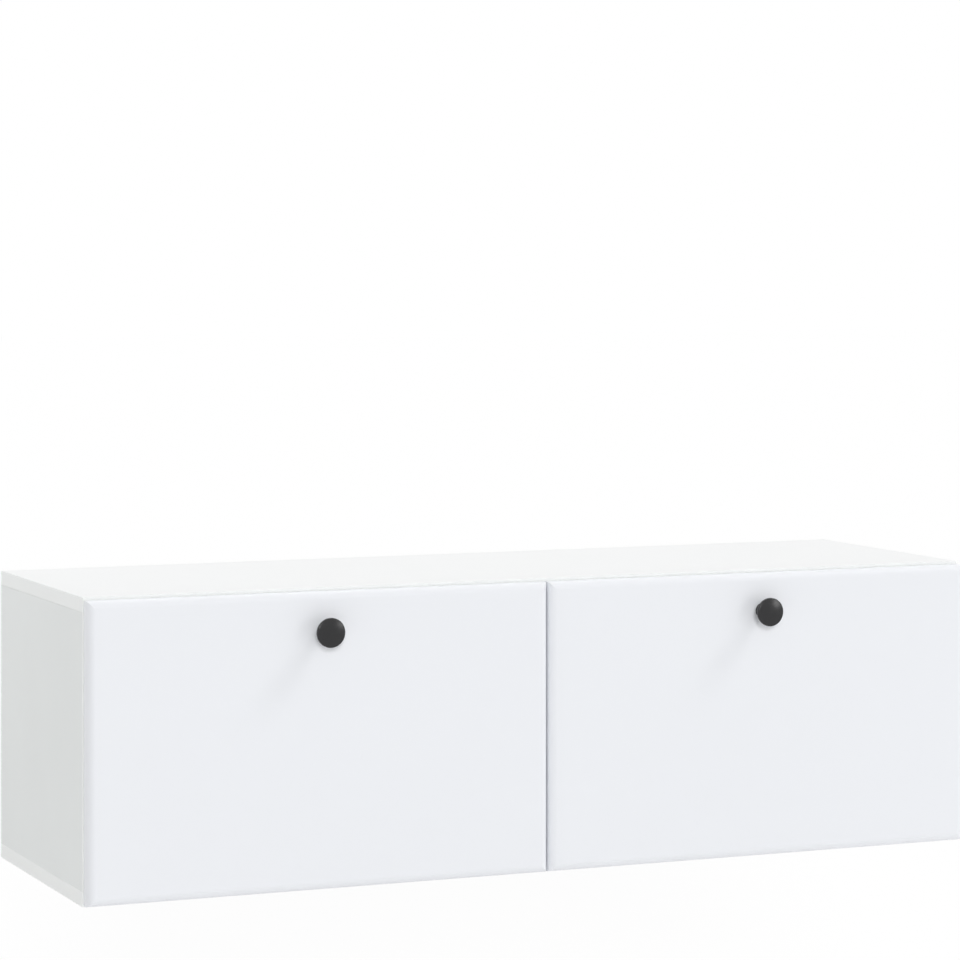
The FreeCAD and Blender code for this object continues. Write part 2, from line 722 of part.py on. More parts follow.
def cam_bolts():
    """Threaded into a long board, with a waisted head inside the cam lock."""
    body = new_body("cam_bolt_master")
    head_top = S.cam_end_distance + S.bolt_head_height / 2
    head_low = head_top - S.bolt_head_height
    neck_low = head_low - S.bolt_neck_height
    lathe(body, "XZ", "V", [
        (ZERO, -S.bolt_thread_length),
        (S.bolt_thread_diameter / 2, -S.bolt_thread_length),
        (S.bolt_thread_diameter / 2, ZERO),
        (S.bolt_shank_diameter / 2, ZERO),
        (S.bolt_shank_diameter / 2, neck_low),
        (S.bolt_neck_diameter / 2, neck_low),
        (S.bolt_neck_diameter / 2, head_low),
        (S.bolt_head_diameter / 2, head_low),
        (S.bolt_head_diameter / 2, head_top),
        (ZERO, head_top)])
    group("cam_bolts", body, end_spots(L.cam_rows))


def end_spots(rows):
    """Places where the uprights' ends meet the long boards, +Z pointing into the upright."""
    spots = []
    for x in joint_rows():
        for y in rows:
            spots.append((x, y, L.floor, turn("x", 0)))
            spots.append((x, y, L.ceiling, turn("x", 180)))
    return spots


def corner_dowels():
    """Grooved wooden dowels, bevelled at both ends."""
    body = new_body("dowel_master")
    radius = S.bolt_hole_diameter / 2
    bevel = S.dowel_bevel
    top = S.dowel_length - S.dowel_bite
    lathe(body, "XZ", "V", [
        (ZERO, -S.dowel_bite), (radius - bevel, -S.dowel_bite),
        (radius, bevel - S.dowel_bite), (radius, top - bevel),
        (radius - bevel, top), (ZERO, top)])
    group("corner_dowels", body, end_spots((L.dowel_row,)))


def wood_screw():
    """The one wood screw: a domed head with a cross recess, its shank along -Z."""
    body = new_body("wood_screw_master")
    shank = S.screw_diameter / 2
    head = S.screw_head_diameter / 2
    height = S.screw_head_height
    lathe(body, "XZ", "V", [
        (ZERO, -S.screw_length), (S.screw_tip_diameter / 2, -S.screw_length),
        (shank, S.screw_tip_length - S.screw_length), (shank, ZERO), (head, ZERO),
        (ZERO, height)], {4: dome_radius(head, height)})
    cross_recess(body, "XY", height - S.screw_recess_depth, height, S.screw_recess_length,
                 S.screw_recess_width)
    return body


# ---------------------------------------------------------------- wall rail and hangers

def wall_rail():
    """A Z-shaped strip: the web is screwed to the wall, the lip carries the hooks."""
    half = L.side_face - S.rail_end_gap
    body = new_body("wall_rail", x=-half)
    sheet = S.rail_thickness
    lip_front = -S.rail_offset
    step = S.rail_web_above
    add(body, "YZ", ZERO, 2 * half, outline([
        (-sheet, -S.rail_web_below), (ZERO, -S.rail_web_below), (ZERO, step),
        (lip_front + sheet, step), (lip_front + sheet, L.rail_lip_top),
        (lip_front, L.rail_lip_top), (lip_front, step - sheet), (-sheet, step - sheet)]))
    holes = [(half + side * S.rail_hole_spacing / 2, ZERO) for side in SIDES.values()]
    cut(body, "XZ", -sheet, ZERO, circles(holes, S.rail_hole_diameter))


def peg_places():
    """Y and Z of the hanger's two pegs."""
    y = L.back_front - S.hanger_depth / 2
    middle = L.hanger_base + S.hanger_height / 2
    return [(y, middle - S.peg_pitch / 2), (y, middle + S.peg_pitch / 2)]


def hanger(name, side):
    """The housing in an upper rear corner: it holds the hook and its two adjusting screws."""
    body = new_body(f"{name}_hanger", x=side * L.side_face, y=L.back_front, z=L.hanger_base)
    inner = S.hanger_width
    add(body, "YZ", *outward(-side, ZERO, inner),
        rectangle(-S.hanger_depth, ZERO, ZERO, S.hanger_height))
    round_edges(body, S.hanger_edge_radius, edge_at("y", -S.hanger_depth))
    pegs = [(y - L.back_front, z - L.hanger_base) for y, z in peg_places()]
    add(body, "YZ", *outward(side, ZERO, S.peg_length), circles(pegs, S.peg_diameter))
    middle = -side * S.hanger_width / 2
    half_slot = S.hook_width / 2 + S.hook_play
    hook_low = L.rail_lip_top - L.hanger_base
    slot = rectangle(middle - half_slot, hook_low - S.hook_play,
                     middle + half_slot, hook_low + S.hook_thickness + S.hook_play)
    cut(body, "XZ", -(S.hook_embed + S.hook_play), ZERO, slot)
    adjusters = [(middle, z - L.hanger_base) for z in adjuster_levels()]
    cut(body, "XZ", -S.hanger_depth, -S.hanger_depth + S.adjuster_recess + S.adjuster_depth,
        circles(adjusters, S.adjuster_diameter))


def adjuster_levels():
    """Z of the two adjusting screws, above and below the hook."""
    middle = L.rail_lip_top + S.hook_thickness / 2
    return (middle - S.adjuster_pitch / 2, middle + S.adjuster_pitch / 2)


def hanger_adjusters():
    """Slotted adjusting screws in the front of both hangers."""
    body = new_body("adjuster_master")
    add(body, "XZ", ZERO, S.adjuster_depth, circles([(ZERO, ZERO)], S.adjuster_diameter))
    half = S.adjuster_slot_length / 2
    blade = S.adjuster_slot_width / 2
    cut(body, "XZ", ZERO, S.adjuster_slot_depth, rectangle(-half, -blade, half, blade))
    y = L.hanger_front + S.adjuster_recess
    spots = []
    for side in SIDES.values():
        for z in adjuster_levels():
            spots.append((side * L.hook_centre, y, z, turn("x", 0)))
    group("hanger_adjusters", body, spots)


def hanger_hook(name, side):
    """A bent strip that bears on the rail's lip and drops behind it."""
    start = side * L.hook_centre - S.hook_width / 2
    body = new_body(f"{name}_hanger_hook", x=start, z=L.rail_lip_top)
    tip = -S.hook_play
    tongue = S.hook_thickness
    behind = tip - tongue
    add(body, "YZ", ZERO, S.hook_width, outline([
        (L.back_front - S.hook_embed, ZERO), (behind, ZERO), (behind, -S.hook_drop),
        (tip, -S.hook_drop), (tip, tongue), (L.back_front - S.hook_embed, tongue)]))


# ---------------------------------------------------------------- flaps and knobs

def hinge_centres():
    """X of the four hinges."""
    return [side * place_x for side in SIDES.values() for place_x in L.hinge_places]


def flap(name, side):
    """The front: rounded on its four front edges, notched for the knuckles and hinge arms."""
    body = new_body(f"{name}_flap", y=L.flap_inner, z=L.flap_bottom)
    height = L.flap_top - L.flap_bottom
    span = outward(side, L.flap_near, L.flap_outer)
    add(body, "XZ", -S.flap_thickness, ZERO, rectangle(span[0], ZERO, span[1], height))
    round_edges(body, S.flap_edge_radius, edge_at("y", -S.flap_thickness))
    on_inner_face = edge_at("y", ZERO)
    on_underside = edge_at("z", ZERO)
    round_edges(body, S.flap_heel_radius, lambda edge: on_inner_face(edge) and on_underside(edge))
    notch_depth = S.pivot_inset + S.knuckle_radius + S.hinge_notch_play
    notch_height = 2 * S.knuckle_radius + S.hinge_notch_play
    half = leaf_half_reach() + S.hinge_notch_play
    notches = []
    for place_x in L.hinge_places:
        middle = side * place_x
        notches.append(rectangle(middle - half, ZERO, middle + half, notch_height))
    cut(body, "XZ", -notch_depth, ZERO, several(notches))
    arm_depth = S.hinge_arm_standoff + S.hinge_arm_thickness - S.flap_gap + S.hinge_notch_play
    arm_height = L.floor - L.flap_bottom + S.hinge_arm_thickness + S.hinge_notch_play
    arm_half = S.hinge_arm_width / 2 + S.knuckle_play
    recesses = []
    for place_x in L.hinge_places:
        middle = side * place_x
        recesses.append(rectangle(middle - arm_half, ZERO, middle + arm_half, arm_height))
    cut(body, "XZ", -arm_depth, ZERO, several(recesses))
    bore = S.knob_screw_diameter + 2 * S.knob_screw_play
    knob = [(side * L.flap_middle, L.knob_height - L.flap_bottom)]
    cut(body, "XZ", -S.flap_thickness, ZERO, circles(knob, bore))
    for sheet, places in flap_screw_places(side):
        pilots = [(x, z - L.flap_bottom) for x, z in places]
        cut(body, "XZ", sheet - S.screw_length, ZERO, circles(pilots, S.screw_diameter))


def flap_screw_places(side):
    """X and Z of the screws in a flap, by the thickness of the sheet that they hold."""
    leaf = [(side * place_x + hand * S.leaf_screw_pitch / 2, L.flap_bottom + S.leaf_screw_rise)
            for place_x in L.hinge_places for hand in SIDES.values()]
    bracket_x = side * bracket_middle()
    bracket_z = L.stay_pivot[1]
    bracket = [(bracket_x, bracket_z + hand * S.bracket_screw_pitch / 2)
               for hand in SIDES.values()]
    strike = [(side * L.flap_middle + hand * strike_screw_offset(), strike_level())
              for hand in SIDES.values()]
    return [(S.leaf_thickness, leaf), (S.bracket_thickness, bracket),
            (S.strike_thickness, strike)]


def flap_screws(name, side, master):
    """All wood screws of one flap, driven from its inner face."""
    spots = []
    for sheet, places in flap_screw_places(side):
        spots += [(x, L.flap_inner + sheet, z, turn("x", -90)) for x, z in places]
    group(f"{name}_flap_screws", master, spots)


def knob(name, side):
    """A mushroom knob: foot, waisted neck, and a head with a domed face."""
    body = new_body(f"{name}_knob", side * L.flap_middle, L.flap_face, L.knob_height,
                    turn("x", 90))
    foot = S.knob_foot_diameter / 2
    neck = S.knob_neck_diameter / 2
    head = S.knob_diameter / 2
    face = S.knob_projection - S.knob_crown
    underside = face - S.knob_rim
    lathe(body, "XZ", "V", [
        (ZERO, ZERO), (foot, ZERO), (foot, S.knob_foot_height),
        (neck, S.knob_foot_height + (foot - neck)), (neck, S.knob_neck_height),
        (head, underside), (head, face), (ZERO, S.knob_projection)],
        {6: dome_radius(head, S.knob_crown)})
    rim = head.value

    def on_rim(edge):
        box = edge.BoundBox
        return abs(box.XMax - rim) < LENGTH_TOLERANCE and box.ZLength < LENGTH_TOLERANCE
    round_edges(body, S.knob_rim_radius, on_rim)
    tapped = circles([(ZERO, ZERO)], S.knob_screw_diameter)
    cut(body, "XY", ZERO, S.knob_screw_bite, tapped)


def knob_screw(name, side):
    """The machine screw through the flap into the knob, its head on the inner face."""
    body = new_body(f"{name}_knob_screw", side * L.flap_middle, L.flap_inner, L.knob_height,
                    turn("x", -90))
    shank = S.knob_screw_diameter / 2
    head = S.knob_screw_head_diameter / 2
    height = S.knob_screw_head_height
    reach = S.flap_thickness + S.knob_screw_bite
    lathe(body, "XZ", "V", [
        (ZERO, -reach), (shank, -reach), (shank, ZERO), (head, ZERO), (ZERO, height)],
        {3: dome_radius(head, height)})
    cross_recess(body, "XY", height - S.knob_screw_recess_depth, height,
                 S.knob_screw_recess_length, S.knob_screw_recess_width)


# ---------------------------------------------------------------- flap hinges

def leaf_half_reach():
    """Hinge centre to the outer end of the leaf's knuckles."""
    return S.hinge_arm_width / 2 + S.knuckle_play + S.side_knuckle_width


def hinge_arm(label, x):
    """Fixed on the floor board: a bent strip through the gap with the middle knuckle."""
    body = new_body(label, x, L.pivot_y, L.pivot_z)
    half = S.hinge_arm_width / 2
    sheet = S.hinge_arm_thickness
    to_front = L.front - L.pivot_y
    rear = to_front - S.hinge_arm_standoff
    seat = L.floor - L.pivot_z
    strip = outline([
        (rear - sheet, ZERO), (rear, ZERO), (rear, seat), (to_front + S.hinge_arm_reach, seat),
        (to_front + S.hinge_arm_reach, seat + sheet), (rear - sheet, seat + sheet)])
    add(body, "YZ", -half, half, strip)
    add(body, "YZ", -half, half, circles([(ZERO, ZERO)], 2 * S.knuckle_radius))
    bore = S.hinge_pin_diameter + 2 * S.hinge_pin_play
    cut(body, "YZ", -half, half, circles([(ZERO, ZERO)], bore))
    screws = [(ZERO, to_front + setback) for setback in L.hinge_screws]
    cut(body, "XY", seat, seat + sheet, circles(screws, S.screw_diameter))


def hinge_leaf(label, x):
    """Fixed on the flap: a plate with two knuckles either side of the arm."""
    body = new_body(label, x, L.flap_inner, L.flap_bottom)
    gap = S.hinge_arm_width / 2 + S.knuckle_play
    tab = leaf_half_reach()
    half = S.leaf_width / 2
    low = S.knuckle_radius
    window = L.floor - L.flap_bottom + S.hinge_arm_thickness + S.leaf_window_play
    half_outline = [(gap, low), (tab, low), (tab, S.leaf_shoulder), (half, S.leaf_shoulder),
                    (half, S.leaf_rise)]
    corners = half_outline + mirrored(LEFT, half_outline) + [(-gap, window), (gap, window)]
    add(body, "XZ", ZERO, S.leaf_thickness, outline(corners))
    axis = circles([(-S.pivot_inset, S.knuckle_radius)], 2 * S.knuckle_radius)
    pin_hole = circles([(-S.pivot_inset, S.knuckle_radius)], S.hinge_pin_diameter)
    for start, end in ((-tab, -gap), (gap, tab)):
        add(body, "YZ", start, end, axis)
        cut(body, "YZ", start, end, pin_hole)
    screws = [(hand * S.leaf_screw_pitch / 2, S.leaf_screw_rise) for hand in SIDES.values()]
    cut(body, "XZ", ZERO, S.leaf_thickness, circles(screws, S.screw_diameter))


def hinge_pin(label, x):
    """The pin on the hinge axis, held in the leaf's knuckles."""
    half = leaf_half_reach() + S.hinge_pin_overhang
    body = new_body(label, x, L.pivot_y, L.pivot_z)
    add(body, "YZ", -half, half, circles([(ZERO, ZERO)], S.hinge_pin_diameter))


def hinges():
    """Two hinges on each flap: the inner one near the divider, the outer one near the end."""
    for name, side in SIDES.items():
        for position, place_x in zip(("inner", "outer"), L.hinge_places):
            x = side * place_x
            hinge_arm(f"{name}_{position}_hinge_arm", x)
            hinge_leaf(f"{name}_{position}_hinge_leaf", x)
            hinge_pin(f"{name}_{position}_hinge_pin", x)


def hinge_arm_screws(master):
    level = L.floor + S.hinge_arm_thickness
    spots = [(x, L.front + setback, level, turn("x", 0))
             for x in hinge_centres() for setback in L.hinge_screws]
    group("hinge_arm_screws", master, spots)


# ---------------------------------------------------------------- flap stays

def from_side(side, near, far):
    """The span of X between two distances from a side panel's inner face."""
    return outward(-side, near, far)


def stay_direction():
    """Unit vector from the stay's pivot to its stud with the flap closed."""
    reach = S.stay_closed_reach
    return ((L.stud_lean - L.stay_lean) / reach, (L.stud_height - L.stay_height) / reach)


def stay_arm(name, side):
    """The slotted arm: pivoted on the flap's bracket, it slides on the side panel's stud."""
    body = new_body(f"{name}_stay_arm", side * L.side_face, *L.stay_pivot)
    along = stay_direction()

    def at(distance):
        return (along[0] * distance, along[1] * distance)

    near = S.stay_wall_distance
    far = near + S.stay_arm_thickness
    slot_start = S.stay_closed_reach - S.stay_end_play
    slot_end = L.stay_open_reach + S.stay_end_play
    tip = slot_end + S.stay_tip
    span = from_side(side, near, far)
    add(body, "YZ", *span, obround(at(ZERO), at(tip), S.stay_arm_width / 2))
    slot_radius = S.stud_diameter / 2 + S.stud_play
    cut(body, "YZ", *span, obround(at(slot_start), at(slot_end), slot_radius))
    eye = S.rivet_diameter + 2 * S.rivet_play
    cut(body, "YZ", *span, circles([at(ZERO)], eye))


def stay_stud(name, side):
    """Screwed into the side panel: thread, collar, running shank and head."""
    body = new_body(f"{name}_stay_stud", side * L.side_face, *L.stud)
    collar = S.stay_wall_distance - S.stud_side_play
    head = S.stay_wall_distance + S.stay_arm_thickness + S.stud_side_play
    end = head + S.stud_head_height
    profile = [
        (-S.stud_thread_length, ZERO), (end, ZERO), (end, S.stud_head_diameter / 2),
        (head, S.stud_head_diameter / 2), (head, S.stud_diameter / 2),
        (collar, S.stud_diameter / 2), (collar, S.stud_collar_diameter / 2),
        (ZERO, S.stud_collar_diameter / 2), (ZERO, S.stud_thread_diameter / 2),
        (-S.stud_thread_length, S.stud_thread_diameter / 2)]
    lathe(body, "XY", "H", mirrored(-side, profile))


def ear_span():
    """Distances of the bracket's ear from the side panel."""
    near = S.stay_wall_distance + S.stay_arm_thickness + S.bracket_side_play
    return near, near + S.bracket_thickness


def bracket_middle():
    """X of the bracket's screws."""
    return L.side_face - ear_span()[0] - S.bracket_width / 2


def stay_bracket(name, side):
    """An angle on the flap: the base takes two screws, the ear carries the rivet."""
    body = new_body(f"{name}_stay_bracket", side * L.side_face, L.flap_inner, L.stay_pivot[1])
    sheet = S.bracket_thickness
    near, far = ear_span()
    start, end = from_side(side, near, near + S.bracket_width)
    half = S.bracket_length / 2
    add(body, "XZ", ZERO, sheet, rectangle(start, -half, end, half))
    radius = S.bracket_ear_radius
    rise = S.stay_pivot_rise
    ear = outline([(ZERO, -radius), (rise, -radius), (rise + radius, ZERO), (rise, radius),
                   (ZERO, radius)], {1: radius, 2: radius})
    add(body, "YZ", *from_side(side, near, far), ear)
    rivet = circles([(rise, ZERO)], S.rivet_diameter)
    cut(body, "YZ", *from_side(side, near, far), rivet)
    middle = -side * (near + S.bracket_width / 2)
    screws = [(middle, hand * S.bracket_screw_pitch / 2) for hand in SIDES.values()]
    cut(body, "XZ", ZERO, sheet, circles(screws, S.screw_diameter))


def stay_rivet(name, side):
    """The stay's pivot: shank through arm and ear, with a head on both."""
    body = new_body(f"{name}_stay_rivet", side * L.side_face, *L.stay_pivot)
    near = S.stay_wall_distance - S.bracket_side_play
    far = ear_span()[1]
    head = S.rivet_head_diameter / 2
    shank = S.rivet_diameter / 2
    profile = [
        (near - S.rivet_head_height, ZERO), (far + S.rivet_head_height, ZERO),
        (far + S.rivet_head_height, head), (far, head), (far, shank), (near, shank),
        (near, head), (near - S.rivet_head_height, head)]
    lathe(body, "XY", "H", mirrored(-side, profile))


# ---------------------------------------------------------------- catches and pads

def catch_front():
    """Y of the magnet's poles with the flap closed."""
    return L.flap_inner + S.strike_thickness + S.catch_clearance


def strike_level():
    """Z of the strike plate's middle, which faces the magnet's middle."""
    return L.ceiling - S.catch_height / 2


def strike_screw_offset():
    """The strike plate's middle to its screws, which pass beside the catch housing."""
    return S.catch_width / 2 + S.strike_screw_play + S.screw_head_diameter / 2


def catch_screw_spots(side):
    """The two screws that hold a catch under the top board."""
    y = catch_front() + S.magnet_step + S.catch_depth / 2
    level = L.ceiling - S.catch_ear_height
    offset = S.catch_width / 2 + S.catch_ear_length / 2
    return [(side * L.flap_middle + hand * offset, y, level, turn("x", 180))
            for hand in SIDES.values()]


def catch_housing(name, side):
    """A plastic block with two ears and a pocket for the magnet."""
    body = new_body(f"{name}_catch_housing", side * L.flap_middle,
                    catch_front() + S.magnet_step, L.ceiling)
    half = S.catch_width / 2
    ear = half + S.catch_ear_length
    add(body, "XZ", ZERO, S.catch_depth, outline([
        (-half, -S.catch_height), (half, -S.catch_height), (half, -S.catch_ear_height),
        (ear, -S.catch_ear_height), (ear, ZERO), (-ear, ZERO),
        (-ear, -S.catch_ear_height), (-half, -S.catch_ear_height)]))
    middle = -S.catch_height / 2
    pocket = rectangle(-S.magnet_width / 2, middle - S.magnet_height / 2,
                       S.magnet_width / 2, middle + S.magnet_height / 2)
    cut(body, "XZ", ZERO, S.magnet_depth - S.magnet_step, pocket)
    offset = half + S.catch_ear_length / 2
    screws = [(hand * offset, S.catch_depth / 2) for hand in SIDES.values()]
    cut(body, "XY", -S.catch_ear_height, ZERO, circles(screws, S.screw_diameter))


def catch_magnet(name, side):
    """The magnet block with two pole plates that stand proud of it."""
    body = new_body(f"{name}_catch_magnet", side * L.flap_middle, catch_front(), strike_level())
    half_width = S.magnet_width / 2
    half_height = S.magnet_height / 2
    add(body, "XZ", ZERO, S.magnet_depth,
        rectangle(-half_width, -half_height, half_width, half_height))
    groove = half_height - S.pole_thickness
    cut(body, "XZ", ZERO, S.magnet_step, rectangle(-half_width, -groove, half_width, groove))


def catch_screws(master):
    spots = [spot for side in SIDES.values() for spot in catch_screw_spots(side)]
    group("catch_screws", master, spots)


def strike_plate(name, side):
    body = new_body(f"{name}_strike_plate", side * L.flap_middle, L.flap_inner, strike_level())
    half_width = strike_screw_offset() + S.screw_head_diameter / 2 + S.strike_end
    half_height = S.strike_height / 2
    add(body, "XZ", ZERO, S.strike_thickness,
        rectangle(-half_width, -half_height, half_width, half_height))
    screws = [(hand * strike_screw_offset(), ZERO) for hand in SIDES.values()]
    cut(body, "XZ", ZERO, S.strike_thickness, circles(screws, S.screw_diameter))


def bumpers():
    """Clear pads on the flap's upper corners, facing the top board's front edge."""
    body = new_body("bumper_master")
    radius = S.bumper_diameter / 2
    height = S.flap_gap - S.bumper_clearance
    lathe(body, "XY", "V", [
        (ZERO, ZERO), (radius, ZERO), (radius, S.bumper_rim_height),
        (S.bumper_top_diameter / 2, height), (ZERO, height)])
    level = L.top - S.board_thickness / 2
    for name, side in SIDES.items():
        places = (L.flap_near + S.bumper_end_distance, L.flap_outer - S.bumper_end_distance)
        spots = [(side * x, L.flap_inner, level, turn("x", 0)) for x in places]
        group(f"{name}_bumpers", body, spots)


# ---------------------------------------------------------------- checks and export

def check_document():
    """Every object computed, and every cut took material away."""
    faults = []
    for item in DOC.Objects:
        if {"Invalid", "Error"} & set(item.State):
            faults.append(f"{item.Label}: {item.State}")
        if item.TypeId == "PartDesign::Pocket":
            before = item.BaseFeature.Shape.Volume
            if not item.Shape.Volume < before - VOLUME_TOLERANCE:
                faults.append(f"{item.Label}: cuts nothing")
        if item.TypeId == "Sketcher::SketchObject" and not item.FullyConstrained:
            faults.append(f"{item.Label}: not fully constrained")
    if faults:
        raise RuntimeError("; ".join(faults))


def sub_parts():
    """The bodies and groups that are pieces of the cabinet."""
    kinds = ("PartDesign::Body", "Part::Compound")
    return [item for item in DOC.Objects
            if item.TypeId in kinds and not item.Label.endswith("_master")]


def export():
    """Write each sub-part's shape to its own file."""
    os.makedirs("parts", exist_ok=True)
    pieces = sub_parts()
    for item in pieces:
        if item.Shape.isNull() or not item.Shape.isValid():
            raise RuntimeError(f"{item.Label}: no valid shape")
    for item in pieces:
        item.Shape.exportStep(f"parts/{item.Label}.step")
        print(f"{item.Label}: {len(item.Shape.Solids)} solid(s)")


def build_carcass():
    top_panel()
    bottom_panel()
    for name, side in SIDES.items():
        side_panel(name, side)
    centre_divider()
    back_panel()
    cam_locks()
    cam_covers()
    cam_bolts()
    corner_dowels()
    wall_rail()
    hanger_adjusters()
    for name, side in SIDES.items():
        hanger(name, side)
        hanger_hook(name, side)


def build_flaps():
    screw = wood_screw()
    hinges()
    hinge_arm_screws(screw)
    catch_screws(screw)
    bumpers()
    for name, side in SIDES.items():
        flap(name, side)
        flap_screws(name, side, screw)
        knob(name, side)
        knob_screw(name, side)
        stay_arm(name, side)
        stay_stud(name, side)
        stay_bracket(name, side)
        stay_rivet(name, side)
        catch_housing(name, side)
        catch_magnet(name, side)
        strike_plate(name, side)


build_carcass()
build_flaps()
DOC.recompute()
check_document()
export()
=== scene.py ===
import logging
import math
from collections.abc import Iterable
from dataclasses import dataclass
from enum import Enum
from functools import cache, cached_property

import bmesh
import bpy
from mathutils import Euler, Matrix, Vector


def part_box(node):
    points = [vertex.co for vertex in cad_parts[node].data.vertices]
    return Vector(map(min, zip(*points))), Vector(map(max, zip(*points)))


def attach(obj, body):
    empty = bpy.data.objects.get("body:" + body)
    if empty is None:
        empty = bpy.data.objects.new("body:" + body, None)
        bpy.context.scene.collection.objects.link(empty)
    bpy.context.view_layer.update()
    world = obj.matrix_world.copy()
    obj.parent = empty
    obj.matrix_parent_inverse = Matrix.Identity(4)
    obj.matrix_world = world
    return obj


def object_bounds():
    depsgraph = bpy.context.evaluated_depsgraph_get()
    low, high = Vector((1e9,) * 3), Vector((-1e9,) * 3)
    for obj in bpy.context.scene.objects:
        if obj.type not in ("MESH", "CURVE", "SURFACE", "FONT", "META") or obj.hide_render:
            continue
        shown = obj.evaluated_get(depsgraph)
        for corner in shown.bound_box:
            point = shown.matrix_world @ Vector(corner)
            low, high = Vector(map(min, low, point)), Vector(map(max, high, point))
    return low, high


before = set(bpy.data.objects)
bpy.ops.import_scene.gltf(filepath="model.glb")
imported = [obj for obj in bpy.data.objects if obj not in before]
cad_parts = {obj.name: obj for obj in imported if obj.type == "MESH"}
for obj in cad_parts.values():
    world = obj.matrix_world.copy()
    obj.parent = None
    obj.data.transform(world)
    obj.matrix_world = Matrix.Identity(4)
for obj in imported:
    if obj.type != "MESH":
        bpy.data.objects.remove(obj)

CAD_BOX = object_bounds()
LOG = logging.getLogger("media_console")

Colour = tuple[float, float, float]
Triple = tuple[float, float, float]
Span = tuple[float, float]
Settings = dict[str, object]
Sockets = dict[int | str, object]

MM = 0.001
FACING = 0.7  # a surface looks along an axis where its direction's component passes this
NOISE_MIDDLE = 0.5  # the value that a noise swings around
CLOUDY: Span = (0.3, 0.7)  # the stretch of a noise over which one colour gives way to another


@dataclass(frozen=True)
class ScreenCurve:
    """The curve between an 8-bit screen colour and a linear one."""

    levels: int = 255
    toe: float = 0.04045
    toe_slope: float = 12.92
    lift: float = 0.055
    power: float = 2.4

    def linear(self, level: int) -> float:
        """Undo the curve of one channel.

        Args:
            level: The channel from 0 to 255.

        Returns:
            Its linear value.
        """
        share = level / self.levels
        if share <= self.toe:
            return share / self.toe_slope
        return ((share + self.lift) / (1 + self.lift)) ** self.power


def screen(red: int, green: int, blue: int) -> Colour:
    """Turn an 8-bit screen colour into the linear colour that a shader takes."""
    curve = ScreenCurve()
    return curve.linear(red), curve.linear(green), curve.linear(blue)


def shaded(colour: Colour, share: float) -> Colour:
    """Multiply each channel of a colour by a share."""
    return tuple(level * share for level in colour)


class Side(Enum):
    """The two halves of the console, seen from the front."""

    LEFT = "left"
    RIGHT = "right"


class Axis(Enum):
    """A main axis, as the output of a Separate XYZ node."""

    X = "X"
    Y = "Y"
    Z = "Z"


# ------------------------------------------------------------------ shader maths

@dataclass(frozen=True)
class Noise:
    """A noise: cells per metre, octaves, and each axis's scale, small to draw it out."""

    scale: float
    detail: float = 2.0
    stretch: Triple = (1.0, 1.0, 1.0)


@dataclass(frozen=True)
class Cells:
    """A broken-up surface: cells per metre and each axis's scale."""

    scale: float
    stretch: Triple = (1.0, 1.0, 1.0)


@dataclass(frozen=True)
class Relief:
    """A bump: its strength from 0 to 1, and the depth of its full range in metres."""

    strength: float
    depth: float


class Wire:
    """A socket that reads as a number, a vector or a colour in Python expressions."""

    def __init__(self, graph: "NodeBench", socket: bpy.types.NodeSocket) -> None:
        """Wrap an output socket of a graph."""
        self.graph = graph
        self.socket = socket

    def _maths(self, operation: str, first: "Wire | float",
               second: "Wire | float" = 0.0) -> "Wire":
        """Join two numbers with a Math node, or two vectors with a Vector Math node.

        Args:
            operation: The node's operation.
            first: First operand.
            second: Second operand.

        Returns:
            The result.
        """
        wires = [item for item in (first, second) if isinstance(item, Wire)]
        if all(wire.socket.type == "VALUE" for wire in wires):
            return self.graph.wire("ShaderNodeMath", {"operation": operation},
                                   {0: first, 1: second})
        operands = [item if isinstance(item, Wire) else (item, item, item)
                    for item in (first, second)]
        return self.graph.wire("ShaderNodeVectorMath", {"operation": operation},
                               dict(enumerate(operands)))

    def __add__(self, other: "Wire | float") -> "Wire":
        """Sum."""
        return self._maths("ADD", self, other)

    def __radd__(self, other: float) -> "Wire":
        """Sum, from the right."""
        return self._maths("ADD", other, self)

    def __sub__(self, other: "Wire | float") -> "Wire":
        """Difference."""
        return self._maths("SUBTRACT", self, other)

    def __rsub__(self, other: float) -> "Wire":
        """Difference, from the right."""
        return self._maths("SUBTRACT", other, self)

    def __mul__(self, other: "Wire | float") -> "Wire":
        """Product."""
        return self._maths("MULTIPLY", self, other)

    def __rmul__(self, other: float) -> "Wire":
        """Product, from the right."""
        return self._maths("MULTIPLY", other, self)

    def __gt__(self, other: "Wire | float") -> "Wire":
        """1 where the wire is greater."""
        return self._maths("GREATER_THAN", self, other)

    def __lt__(self, other: "Wire | float") -> "Wire":
        """1 where the wire is less."""
        return self._maths("LESS_THAN", self, other)

    def __abs__(self) -> "Wire":
        """Distance from zero."""
        return self._maths("ABSOLUTE", self)

    def sine(self) -> "Wire":
        """Sine of the value."""
        return self._maths("SINE", self)

    def top(self, other: "Wire | float") -> "Wire":
        """The greater of two values."""
        return self._maths("MAXIMUM", self, other)

    def part(self, axis: Axis) -> "Wire":
        """One component of a vector."""
        return self.graph.wire("ShaderNodeSeparateXYZ", {}, {0: self}, axis.value)

    def ramp(self, low: float, high: float) -> "Wire":
        """A soft step from 0 at low to 1 at high."""
        return self.graph.wire("ShaderNodeMapRange", {"interpolation_type": "SMOOTHSTEP"},
                               {"Value": self, "From Min": low, "From Max": high}, "Result")

    def blend(self, off: "Wire | Colour", on: "Wire | Colour") -> "Wire":
        """Mix two colours by this wire.

        Args:
            off: Colour at 0.
            on: Colour at 1.

        Returns:
            The mixed colour.
        """
        colour_output = 2
        return self.graph.wire("ShaderNodeMix", {"data_type": "RGBA"},
                               {"Factor_Float": self, "A_Color": off, "B_Color": on},
                               colour_output)


